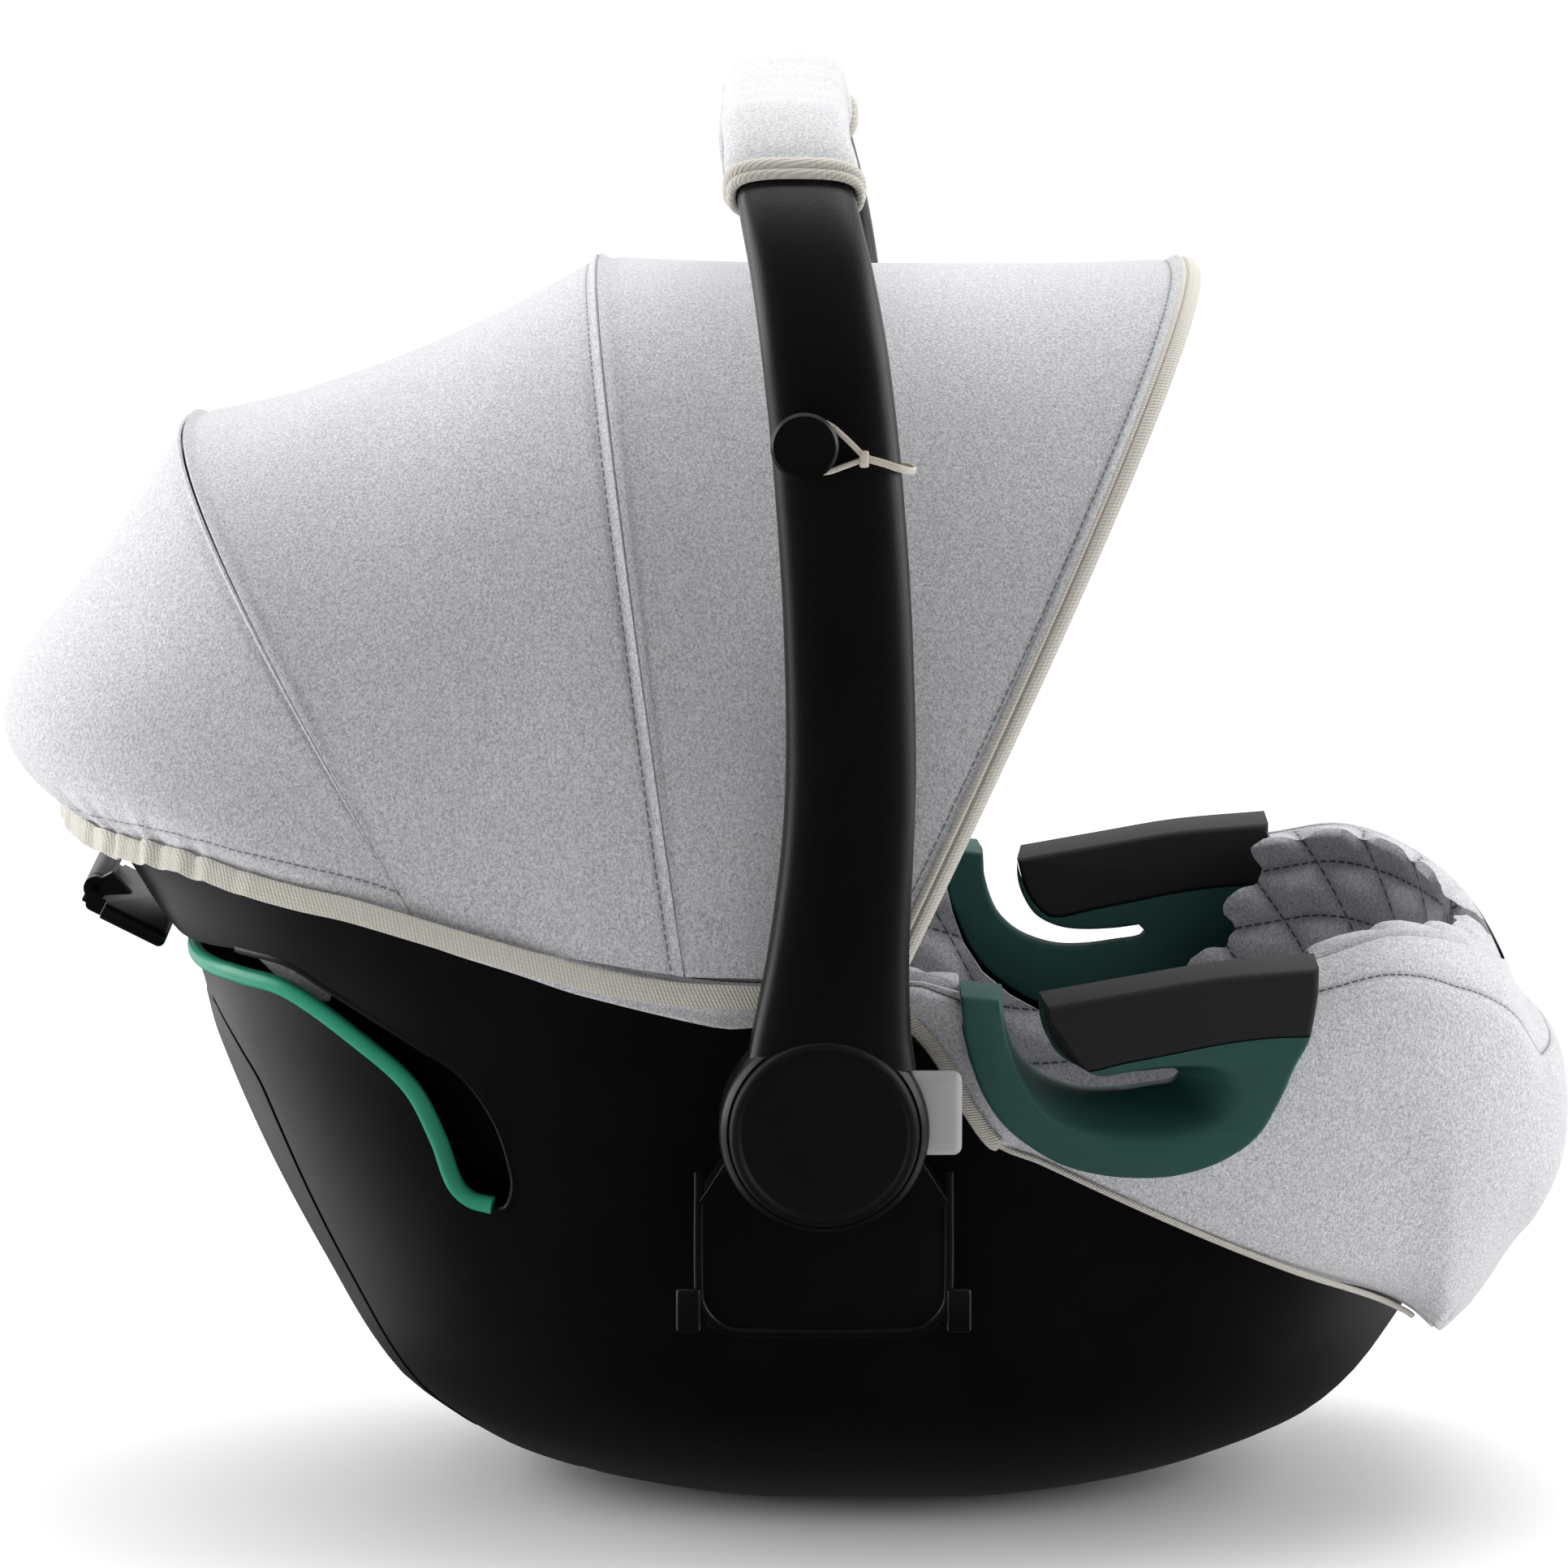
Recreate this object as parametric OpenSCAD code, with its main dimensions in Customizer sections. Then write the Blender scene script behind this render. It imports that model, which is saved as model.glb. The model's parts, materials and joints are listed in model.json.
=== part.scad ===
// Infant car seat: rearward-facing carrier with a rocker shell, carry handle and folding canopy.
// X runs from the head end to the foot end, Y across (child's left is +Y), Z up from the floor.

/* [Shell] */
// Half width of the shell at its rim
rim_half_w = 171; // [169:0.5:171]
// Radius of the rocker underside
rocker_r = 640; // [620:10:680]
// Place of the rocker's lowest point along X
rocker_x = 36; // [30:1:40]
// Half length of the flat foot in the middle of the rocker
foot_half = 48; // [44:1:50]
// Thickness of the outer shell's wall
shell_wall = 3; // [2.6:0.1:3.2]
// Gap between the outer shell and the inner tub, which forms the belt slot's depth
slot_depth = 19; // [17:1:20]

/* [Handle] */
// Height of the handle's turning axis
hub_z = 187; // [186:0.5:188]
// Place of the handle's turning axis along X
hub_x = 16; // [15:0.5:17]
// Radius of the hub housing
hub_r = 42; // [41:0.5:43]
// Middle of the handle's arm, measured across from the centre
arm_y = 203.5; // [203:0.5:205]
// Radius of the handle's corner bend
bend_r = 85; // [80:1:86]
// Height of the grip bar's middle
bar_z = 577; // [576:0.5:579]
// Radius of the pivot pin
pin_r = 9; // [8:0.5:10]

/* [Canopy] */
// Half width of the canopy fabric at its base
canopy_w = 184.6; // [184:0.2:185]
// Thickness of the canopy fabric
cloth = 1.8; // [1.5:0.1:2]
// Radius of a canopy bow
bow_r = 2.2; // [2:0.1:2.3]

/* [Hidden] */

black = [0.06, 0.06, 0.065];
cloth_grey = [0.77, 0.77, 0.79];
beige = [0.82, 0.80, 0.75];
hook_green = [0.12, 0.32, 0.28];
trim_green = [0.16, 0.55, 0.43];
eps = 0.01;

// ---- small helpers ----
function lerp(a, b, t) = a + (b - a) * t;
function clamp01(t) = min(1, max(0, t));
function smooth(t) = let (c = clamp01(t)) c * c * (3 - 2 * c);
function se(c, n) = sign(c) * pow(abs(c), 2 / n);
function segment_at(p, x, i = 0) = i >= len(p) - 2 || x < p[i + 1][0] ? i : segment_at(p, x, i + 1);
function slope(p, i) =
    let (a = max(0, i - 1), b = min(len(p) - 1, i + 1)) (p[b][1] - p[a][1]) / (p[b][0] - p[a][0]);
// A smooth curve through hand-set points [x, value]
function curve(p, x) =
    let (i = segment_at(p, x), w = p[i + 1][0] - p[i][0], t = clamp01((x - p[i][0]) / w),
        m0 = slope(p, i) * w, m1 = slope(p, i + 1) * w)
    (2 * t^3 - 3 * t^2 + 1) * p[i][1] + (t^3 - 2 * t^2 + t) * m0
        + (3 * t^2 - 2 * t^3) * p[i + 1][1] + (t^3 - t^2) * m1;
function middle_of(r) = let (n = len(r)) [for (k = [0 : 2]) [for (q = r) q[k]] * [for (q = r) 1] / n];

// The skin of a thin band, each ring of which runs out along one face and back along the other
module band_skin(rings) {
    n = len(rings[0]);
    m = len(rings);
    half = n / 2;
    sides = [for (i = [0 : m - 2]) for (j = [0 : n - 1])
        let (a = i * n + j, b = i * n + (j + 1) % n, c = a + n, d = b + n) each [[a, d, b], [a, c, d]]];
    caps = [for (j = [0 : half - 2]) let (a = j, b = j + 1, c = n - 2 - j, d = n - 1 - j, e = (m - 1) * n)
        each [[a, b, c], [a, c, d], [e + a, e + c, e + b], [e + a, e + d, e + c]]];
    polyhedron(points = [for (r = rings) each r], faces = concat(sides, caps));
}

// A closed skin over rings of equal length; its ends are closed by fans, or joined to each other
module skin(rings, ring_loop = false) {
    n = len(rings[0]);
    m = len(rings);
    pts = [for (r = rings) each r, middle_of(rings[0]), middle_of(rings[m - 1])];
    last = ring_loop ? m - 1 : m - 2;
    sides = [for (i = [0 : last]) for (j = [0 : n - 1])
        let (k = (i + 1) % m, a = i * n + j, b = i * n + (j + 1) % n, c = k * n + j, d = k * n + (j + 1) % n)
        each [[a, d, b], [a, c, d]]];
    caps = ring_loop ? [] : [for (j = [0 : n - 1])
        each [[m * n, j, (j + 1) % n], [m * n + 1, (m - 1) * n + (j + 1) % n, (m - 1) * n + j]]];
    polyhedron(points = ring_loop ? [for (r = rings) each r] : pts, faces = concat(sides, caps));
}

// Does the same for the child's left and right: side is 1 for left (+Y) and -1 for right
module on_side(side) {
    scale([1, side, 1]) children();
}
module mirrored(side) {
    if (side < 0) mirror([0, 1, 0]) children();
    else children();
}

// A solid with an outline in X and Z, between two distances across
module across(y0, y1) {
    translate([0, y1, 0]) rotate([90, 0, 0]) linear_extrude(y1 - y0) children();
}

// ---- shell form ----
foot_drop = foot_half^2 / (2 * rocker_r);
plan_n = 3;
around = 44;
rim_line = [[-300, 266], [-184, 265], [-132, 252], [-86, 241], [-39, 229], [16, 222], [60, 215], [103, 209],
    [160, 212], [215, 222], [246, 224], [285, 205], [316, 165]];
// How far the wall's top and the cover rise above that line round the head end
lift_line = [[-300, 16], [-262, 17], [-233, 14], [-205, 8], [-180, 5], [-145, 4], [-110, 2.5], [-80, 0], [316, 0]];
rear_line = [[0, -130], [0.03, -145], [0.09, -168], [0.27, -196], [0.45, -219], [0.65, -238], [0.84, -251],
    [1, -286]];
front_line = [[0, 205], [0.04, 233], [0.17, 257], [0.43, 284], [0.79, 303], [1, 310]];
function keel(x) = max(0, (x - rocker_x)^2 / (2 * rocker_r) - foot_drop);
function rim(x) = curve(rim_line, x);
function lift(x) = curve(lift_line, x);
function half_w(h) = rim_half_w - 103 + 63 * (1 - (1 - h)^8) + 40 * h;
function shell_pt(h, a, in = 0) =
    let (xr = curve(rear_line, h) + in, xf = curve(front_line, h) - in,
        x = (xr + xf) / 2 + (xf - xr) / 2 * se(cos(a), plan_n))
    [x, (half_w(h) - in) * se(sin(a), plan_n), lerp(keel(x) + in, rim(x), h) + lift(x) * smooth((h - 0.88) / 0.12)];
function shell_ring(h, in = 0) = [for (k = [0 : around - 1]) shell_pt(h, k * 360 / around, in)];
function shrunk(r, f) =
    let (c = middle_of(r)) [for (q = r) [c[0] + (q[0] - c[0]) * f, q[1] * f, q[2]]];
function bottom_ring(f, in = 0) =
    let (r = shrunk(shell_ring(0, in), f)) [for (q = r) [q[0], q[1], keel(q[0]) + in]];
wall_steps = [0.02, 0.06, 0.13, 0.22, 0.34, 0.47, 0.6, 0.72, 0.82, 0.9, 0.96, 1];
function backwards(l) = [for (i = [len(l) - 1 : -1 : 0]) l[i]];

// The belt slot in the side view, which wraps round the head end
slot_outline = [[-340, 226], [-226, 227], [-203, 224], [-168, 202], [-154, 190], [-144, 170], [-138, 150],
    [-131, 140], [-120, 138], [-111, 143], [-110, 156], [-117, 178], [-131, 198], [-166, 219], [-203, 240],
    [-224, 243], [-245, 241], [-340, 239]];
trim_line = [[-300, 229.2], [-226, 230.2], [-203, 227.4], [-168, 205], [-151.5, 190], [-141, 169], [-134.5, 150],
    [-128, 143.5], [-119, 141.5]];

// The belt hook in the side view: a round body with a hooked slot that opens upwards
hook_outline = [[71, 237], [72, 222], [75, 209], [80, 196], [88, 184], [100, 174], [113, 167], [129, 163],
    [146, 162], [160, 163.5], [176, 169], [190, 179], [199, 194], [205, 208], [211, 220], [214, 248],
    [174, 244.5], [142, 239], [103, 232], [103.5, 222], [107, 213], [112, 206.5], [121, 202], [131, 200.5],
    [146, 201], [157, 202.5], [160, 199.5], [157, 196.5], [148, 195], [135, 193], [121, 193], [110, 196],
    [101, 201], [93, 210], [89, 222], [88, 235]];
hook_body_outline = [[70.5, 238], [71.5, 222], [74.5, 209], [79.5, 195.8], [87.6, 183.5], [99.7, 173.5],
    [112.8, 166.5], [128.9, 162.5], [146, 161.5], [160.2, 163], [176.3, 168.5], [190.4, 178.5], [199.5, 193.8],
    [205.5, 207.8], [211.5, 220], [214.5, 260], [71, 260]];
grip_outline = [[103, 232], [142, 239], [174, 244.5], [214, 248], [213.7, 237], [211, 220], [194, 219.5],
    [175, 217], [155, 213], [135, 209], [119, 206], [111, 212], [106, 221]];
hook_in = 140;
hook_out = 184;
module hook_notch() {
    for (side = [-1, 1])
        mirrored(side) across(126, 230) polygon(hook_body_outline);
}

module outer_shell() {
    color(black) difference() {
        skin(concat([bottom_ring(0.275), bottom_ring(0.5), bottom_ring(0.75)], [shell_ring(0)],
            [for (h = wall_steps) shell_ring(h)],
            [for (h = backwards(wall_steps)) shell_ring(h, shell_wall)],
            [shell_ring(0, shell_wall), bottom_ring(0.75, shell_wall), bottom_ring(0.275, shell_wall)]));
        across(-260, 260) polygon(slot_outline);
        hook_notch();
        for (side = [-1, 1])
            mirrored(side) across(120, 230) translate([hub_x, hub_z]) circle(12, $fn = 48);
        for (x = [latch_front_x, latch_rear_x])
            translate([x - 14, -60, -10]) cube([28, 120, 60]);
    }
}

module back_cover() {
    steps = [0.03, 0.09, 0.18, 0.3, 0.42, 0.54, 0.66, 0.74];
    function edge(h) = asin(curve([[0, 0.5], [0.13, 0.46], [0.6, 0.45], [0.68, 0.38], [0.745, 0.25]], h));
    function patch(h, off) = [for (k = [0 : 16]) shell_pt(h, 180 + edge(h) * (k / 8 - 1), -off)];
    color(black) band_skin([for (h = steps) concat(patch(h, 0.4), backwards(patch(h, 2.2)))]);
}

// A point of the shell's outside at x and z in the side view, pushed in by "in"
function side_pt(x, z, in) =
    let (h = (z - keel(x)) / (rim(x) - keel(x)), xr = curve(rear_line, h), xf = curve(front_line, h),
        c = clamp01(((xr + xf) / 2 - x) / ((xf - xr) / 2)), s = sqrt(1 - pow(c, plan_n)))
    [x + 0.6 * in * c, (half_w(h) - in) * pow(s, 2 / plan_n), z];
function back_pt(a, z, in) =
    let (h = (z - keel(-245)) / (rim(-245) - keel(-245)), q = shell_pt(h, a, in)) [q[0], q[1], z];
module belt_slot_trim() {
    back = [for (a = [180 : -6 : 138]) back_pt(a, 229.6, 1.2)];
    low = [for (q = back) if (q[0] < -231) q];
    side = [for (x = [-226, -218, -208, -198, -188, -178, -168, -160, -154, -148, -143, -139, -135, -131, -127,
        -123, -119.5]) side_pt(x, curve(trim_line, x), 1.2)];
    half = concat(low, side);
    path = concat([for (q = backwards(half)) [q[0], -q[1], q[2]]], [for (i = [1 : len(half) - 1]) half[i]]);
    color(trim_green) ring_sweep(path, 2.4);
}

// How far the tub lies inside the shell: deep behind the belt slot at the head end, close elsewhere
function tub_in(h, a) = shell_wall + 0.4
    + lerp(5, slot_depth, smooth((-cos(a) - 0.05) / 0.25)) * (1 - smooth((h - 0.86) / 0.12));
function tub_ring(h, extra) =
    [for (k = [0 : around - 1]) let (a = k * 360 / around) shell_pt(h, a, tub_in(h, a) + extra)];
function tub_floor(f, extra) = bottom_ring(f, shell_wall + 0.4 + slot_depth + extra);
tub_wall = 2.6;
tub_steps = [0.06, 0.2, 0.4, 0.6, 0.78, 0.86, 0.92, 0.96, 1];
module seat_tub() {
    color(black) difference() {
        skin(concat([tub_floor(0.4, 0), tub_floor(0.8, 0)], [for (h = tub_steps) tub_ring(h, 0)],
            [for (h = backwards(tub_steps)) tub_ring(h, tub_wall)],
            [tub_floor(0.8, tub_wall), tub_floor(0.4, tub_wall)]));
        hook_notch();
    }
}

// ---- the hollow that the child lies in ----
cav_w = 146;
cav_rear = -260;
cav_front = 284;
cav_n = 3.2;
floor_line = [[-264, 270], [-248, 262], [-225, 244], [-200, 216], [-150, 172], [-60, 124], [20, 92], [80, 82], [140, 90],
    [200, 116], [250, 150], [274, 178], [286, 200]];
crest_line = [[-300, 276], [-184, 272], [-132, 262], [-86, 252], [-39, 243], [16, 240], [52, 240], [73, 235],
    [106, 226], [140, 227], [180, 235], [217, 244], [246, 250], [275, 243], [299, 226], [314, 200]];
function cav_half(x) =
    let (u = abs((x - (cav_rear + cav_front) / 2) / ((cav_front - cav_rear) / 2)))
        cav_w * pow(max(0.001, 1 - u^cav_n), 1 / cav_n);
function cav_z(x, y) =
    lerp(curve(floor_line, x), curve(crest_line, x) + lift(x), pow(min(1, abs(y) / cav_half(x)), 8));
function cav_ring(f, down = 0) =
    [for (k = [0 : around - 1]) let (a = k * 360 / around,
        x = (cav_rear + cav_front) / 2 + (cav_front - cav_rear) / 2 * se(cos(a), cav_n) * f,
        y = cav_w * se(sin(a), cav_n) * f)
        [x, y, cav_z(x, y) - down]];
cav_steps = [0.2, 0.45, 0.68, 0.82, 0.9, 0.955, 1];
cover_thick = 6;
function crest_ring(in, up) =
    [for (k = [0 : around - 1]) let (q = shell_pt(1, k * 360 / around, in)) [q[0], q[1], curve(crest_line, q[0]) + lift(q[0]) + up]];
function rim_ring(in, up) =
    [for (k = [0 : around - 1]) let (q = shell_pt(1, k * 360 / around, in)) [q[0], q[1], rim(q[0]) + lift(q[0]) + up]];

module foam_liner() {
    color("white") difference() {
        skin(concat([for (f = [0.4, 0.8]) tub_floor(f, tub_wall + 0.4)],
            [for (h = tub_steps) tub_ring(h, tub_wall + 0.4)],
            [rim_ring(23, 0)], [for (f = backwards(cav_steps)) cav_ring(f, cover_thick + 0.8)]));
        across(-84, 84) polygon([[-112, 0], [-142, 132], [-60, 92], [20, 60], [80, 50], [140, 58], [196, 80], [200, 0]]);
        hook_notch();
    }
}

module seat_cover() {
    color(cloth_grey) difference() {
        skin(concat([for (f = cav_steps) cav_ring(f)], [crest_ring(16, 2), crest_ring(9, 0), rim_ring(7.5, 4)],
            [rim_ring(9, 0.6), rim_ring(22, 0.6)], [for (f = backwards(cav_steps)) cav_ring(f, cover_thick)]));
        hook_notch();
    }
}

// The outer flap of the cover, from its hem on the shell to the seam along the crest
hem_line = [[-300, 265], [-184, 261], [-132, 246], [-86, 235], [-39, 224], [-20, 221], [0, 224], [16, 226],
    [40, 226], [52, 221], [63, 208], [74, 188], [85, 173], [103, 165], [142, 146], [175, 130], [208, 114],
    [240, 98], [258, 84], [268, 70], [272, 62]];
skirt_front = [[0, 272], [0.12, 292], [0.3, 311], [0.5, 326], [0.65, 330], [0.82, 329], [0.92, 324], [1, 306]];
skirt_half = [[0, -1], [0.3, 2.5], [0.6, 4.5], [0.84, 5.2], [0.94, 2], [1, -5]];
skirt_wall = 4.4;
function skirt_pt(k, a, in = 0) =
    let (back = a > 90 && a < 270, b = rim_half_w + (back ? max(2, curve(skirt_half, k)) - 0
            : curve(skirt_half, k)) - in,
        xf = curve(skirt_front, k) - in, xr = -286 - 5.2 + in,
        cx = 85, x = cx + (back ? cx - xr : xf - cx) * se(cos(a), back ? 3.4 : 2.7))
    [x, b * se(sin(a), back ? 3.4 : 2.7), lerp(curve(hem_line, x), curve(crest_line, x) + 1, k) + lift(x)];
module cover_skirt() {
    steps = [0, 0.12, 0.3, 0.5, 0.65, 0.8, 0.9, 0.96, 1];
    ring_angles = [for (k = [0 : 55]) k * 360 / 56];
    function skirt_ring(k, in) = [for (a = ring_angles) skirt_pt(k, a, in)];
    color(cloth_grey) difference() {
        skin(concat([for (k = steps) skirt_ring(k, 0)], [for (k = backwards(steps)) skirt_ring(k, skirt_wall)]),
            true);
        hook_notch();
    }
}

module infant_insert() {
    function pad(f, up) = [for (k = [0 : 31]) let (a = k * 360 / 32, x = -10 + 96 * se(cos(a), 3) * f,
        y = 108 * se(sin(a), 3) * f) [x, y, cav_z(x, y) + up]];
    color(cloth_grey) skin([pad(0.3, 0.8), pad(0.65, 0.8), pad(0.9, 0.8), pad(1, 2.5), pad(1, 7), pad(0.92, 13),
        pad(0.7, 16), pad(0.3, 16)]);
}

// ---- hub, socket and pin on each side ----
socket_outline = [[-36, 150], [-36, 112], [-30, 101], [-18, 97], [50, 97], [62, 101], [68, 112], [68, 150],
    [54, 172], [-22, 172]];
module adapter_socket(side) {
    color(black) mirrored(side) difference() {
        intersection() {
            across(120, 187) union() {
                polygon(socket_outline);
                translate([hub_x, hub_z]) circle(38, $fn = 96);
            }
            translate([-60, 0, 0]) rotate([90, 0, 90]) linear_extrude(150)
                polygon([[150.2, 96], [184, 96], [184, 150], [187, 158], [187, 226], [171.8, 226], [170.6, 205],
                    [167.4, 187], [163.6, 165], [159.2, 140], [154.4, 116]]);
        }
        across(100, 200) translate([hub_x, hub_z]) circle(pin_r, $fn = 64);
        translate([-12, 166, 80]) cube([56, 13, 60]);
    }
}
module pivot_pins() {
    color("silver") for (side = [-1, 1])
        mirrored(side) across(172, 212) translate([hub_x, hub_z]) circle(pin_r, $fn = 64);
}

module belt_hook(side) {
    color(hook_green) mirrored(side) difference() {
        across(hook_in, hook_out) polygon(hook_outline);
        across(hook_in - 1, hook_out + 1) polygon(grip_outline);
    }
}
module hook_grip(side) {
    color(black) mirrored(side) across(hook_in - 0.4, hook_out + 1) polygon(grip_outline);
}

// ---- base latch bars under the shell ----
latch_front_x = 128;
latch_rear_x = -72;
latch_r = 5;
module latch_bars() {
    color("silver") for (x = [latch_front_x, latch_rear_x])
        translate([x, 60, keel(x) + 12]) rotate([90, 0, 0]) cylinder(r = latch_r, h = 120, $fn = 48);
}

// ---- harness ----
buckle_x = 118;
buckle_z = 116;
buckle_tilt = -28;
module at_buckle() {
    translate([buckle_x, 0, buckle_z]) rotate([0, buckle_tilt, 0]) children();
}
module crotch_strap() {
    color([0.15, 0.15, 0.16]) at_buckle() translate([26.4, -12, -26]) rotate([0, 12, 0]) cube([1.6, 24, 24]);
}
module crotch_pad() {
    color(cloth_grey) at_buckle() translate([-24, -24, -9.5]) cube([62, 48, 6]);
}
module buckle_body() {
    color(black) at_buckle() difference() {
        translate([-24, -19, -3]) cube([50, 38, 17]);
        translate([-2, -10, 4.6]) cube([22, 20, 13]);
        translate([-30, -14, 2.6]) cube([24, 28, 3.8]);
    }
}
module buckle_button() {
    color("firebrick") at_buckle() translate([-1.7, -9.7, 8]) cube([21.4, 19.4, 7.5]);
}
module buckle_tongues() {
    color("silver") at_buckle() for (side = [-1, 1]) difference() {
        translate([-50, side > 0 ? 0.3 : -13.8, 3]) cube([44, 13.5, 3]);
        translate([-47, side > 0 ? 2.8 : -11.3, 2]) cube([5, 8.5, 6]);
    }
}
module shoulder_strap(side) {
    // Webbing from the buckle tongue up over the child's chest to the headrest's slot
    path = [[68, 146, 7], [48, 155, 12], [20, 164, 22], [-20, 174, 34], [-60, 187, 42], [-80, 196, 45],
        [-92, 202, 46]];
    color([0.15, 0.15, 0.16]) mirrored(side) skin([for (i = [0 : len(path) - 1])
        let (p = path[i], q = path[min(i + 1, len(path) - 1)], r = path[max(i - 1, 0)],
            t = atan2(q[1] - r[1], q[0] - r[0]))
        [for (c = [[-12.5, -0.8], [12.5, -0.8], [12.5, 0.8], [-12.5, 0.8]])
            [p[0] - c[1] * sin(t), p[2] + (i == 0 ? 0.4 : 0.5) * c[0] + (i > 0 ? 0.5 * c[0] : 0), p[1] + c[1] * cos(t)]]]);
}
module shoulder_pad(side) {
    stations = [[-72, 194, 43], [-44, 184.5, 38.5], [-16, 176, 32.5], [10, 168.5, 25]];
    corners = [[-19, 0.95], [19, 0.95], [17, 5.5], [-17, 5.5]];
    color(cloth_grey) mirrored(side) for (layer = [-1, 1])
        skin([for (p = stations) [for (c = layer > 0 ? corners : backwards(corners))
            [p[0], p[2] + c[0], p[1] + layer * c[1]]]]);
}
adjuster_x = 224;
module at_adjuster() {
    translate([adjuster_x, 0, curve(floor_line, adjuster_x)]) rotate([0, -32, 0]) children();
}
module adjuster_housing() {
    color(black) at_adjuster() difference() {
        translate([-26, -20, 1]) cube([52, 40, 7]);
        translate([-14.3, -11.3, 3]) cube([28.6, 22.6, 8]);
    }
}
module adjuster_button() {
    color([0.35, 0.35, 0.36]) at_adjuster() translate([-14, -11, 6.5]) cube([28, 22, 4.5]);
}

// ---- headrest, which slides along the back ----
back_tilt = 27.7;
head_x = -139;
head_z = 189;
module at_head() {
    translate([head_x, 0, head_z]) rotate([0, back_tilt, 0]) children();
}
function head_section(w, d, top, n = 4, steps = 12) =
    [for (k = [0 : steps]) let (a = 180 + k * 180 / steps)
        [w * se(cos(a), n), top + (top + d) * (se(sin(a), n))]];
module headrest_shell() {
    outer = head_section(92, 0, 62);
    inner = head_section(88, -4, 62);
    color(black) at_head() translate([-50, 0, 0]) rotate([90, 0, 90]) linear_extrude(104) difference() {
        polygon(outer);
        polygon(concat([for (q = inner) [q[0], q[1] + 0]], [[88, 70], [-88, 70]]));
    }
}
module headrest_pad() {
    outer = head_section(87.6, -4.4, 62);
    inner = head_section(66, -20, 62);
    color(cloth_grey) at_head() translate([-52, 0, 0]) rotate([90, 0, 90]) linear_extrude(108) difference() {
        polygon(concat(outer, [[87.6, 76], [-87.6, 76]]));
        polygon(concat(inner, [[66, 80], [-66, 80]]));
    }
}

// ---- release lever at the head end ----
lever_hinge_x = -287;
lever_hinge_z = 255.5;
lever_angle = 27;
module at_lever() {
    translate([lever_hinge_x, 0, lever_hinge_z]) rotate([0, lever_angle, 0]) children();
}
module release_lever() {
    color(black) at_lever() difference() {
        union() {
            translate([-1, -48, -11]) cube([37, 96, 7]);
            translate([-3, -40, -9]) cube([7, 80, 8]);
            rotate([90, 0, 0]) translate([0, 0, -40]) cylinder(r = 5, h = 80, $fn = 48);
        }
        rotate([90, 0, 0]) translate([0, 0, -60]) cylinder(r = 2.05, h = 120, $fn = 48);
        for (y = [-48.5, 40.3]) translate([-8, y, -12]) cube([15, 8.2, 21]);
    }
}
module lever_bracket() {
    color(black) for (y = [-47.5, 41.5]) difference() {
        across(y, y + 6) union() {
            translate([lever_hinge_x, lever_hinge_z]) circle(5, $fn = 48);
            polygon([[lever_hinge_x - 2, lever_hinge_z - 4], [lever_hinge_x + 4, lever_hinge_z - 3],
                [-272, 253], [-280, 262], [-284, 260]]);
        }
        across(y - 1, y + 7) translate([lever_hinge_x, lever_hinge_z]) circle(2, $fn = 48);
    }
}
module lever_pin() {
    color("silver") at_lever() translate([0, 48, 0]) rotate([90, 0, 0]) cylinder(r = 2, h = 96, $fn = 48);
}

// ---- canopy ----
fold_x = 14;
fold_z = 238;
canopy_n = 2.5;
rear_base = [-143, 258];
rear_top = [-250, 446];
mid_base = [-39, 240];
mid_top = [-78, 513];
front_base = [37, 238];
front_top = [166, 512];
rear_w = 178;
// A bow's line in the side view, from its base to its top, at half width w
function bow_pt(base, top, w, v, drop = 0) =
    let (c = cos(180 * v), h = pow(abs(sin(180 * v)), 2 / canopy_n), l = norm(top - base))
    [lerp(base[0], top[0], h * (1 - drop / l)), w * se(c, canopy_n), lerp(base[1], top[1], h * (1 - drop / l))];
module ring_sweep(path, r, sides = 8) {
    n = len(path);
    skin([for (i = [0 : n - 1])
        let (d = path[min(i + 1, n - 1)] - path[max(i - 1, 0)], u = [1, 0, 0] - d * d[0] / (d * d),
            a = u / norm(u), b = cross(d / norm(d), a))
        [for (k = [0 : sides - 1]) path[i] + r * (a * cos(k * 360 / sides) + b * sin(k * 360 / sides))]]);
}
bow_in = cloth + 0.35 + 2.2;
across_steps = 36;
module bow(base, top, w, foot = 0) {
    inner_w = w - bow_in;
    legs = foot > 0 ? [[fold_x + (base[0] < fold_x ? -7 : 7), fold_z + 7]] : [];
    path = [for (k = [0 : across_steps]) let (v = k / across_steps, q = bow_pt(base, top, inner_w, v, bow_in),
        h = pow(abs(sin(180 * v)), 2 / canopy_n), t = foot > 0 ? smooth(h / 0.3) : 1,
        p = foot > 0 ? [lerp(legs[0][0], q[0], t), q[1], lerp(legs[0][1], q[2], t)] : q) p];
    ring_sweep(path, bow_r);
}
module rear_bow() { color(black) bow(rear_base, rear_top, rear_w); }
module mid_bow() { color(black) bow(mid_base, mid_top, canopy_w, 1); }
module front_bow() { color(black) bow(front_base, front_top, canopy_w, 1); }
bow_y = canopy_w - bow_in;
module bow_ends(y0, reach) {
    color(black) for (side = [-1, 1]) mirrored(side) difference() {
        across(bow_y + y0, bow_y + y0 + 2) union() {
            translate([fold_x, fold_z]) circle(6, $fn = 48);
            polygon([[fold_x + sign(reach) * 1, fold_z + 5.5], [fold_x + reach, fold_z + 5.5],
                [fold_x + reach, fold_z + 2], [fold_x + sign(reach) * 1, fold_z - 2]]);
        }
        across(150, 200) translate([fold_x, fold_z]) circle(3.05, $fn = 48);
    }
}
module mid_bow_ends() { bow_ends(-2.2, -7); }
module front_bow_ends() { bow_ends(0.2, 7); }
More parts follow.
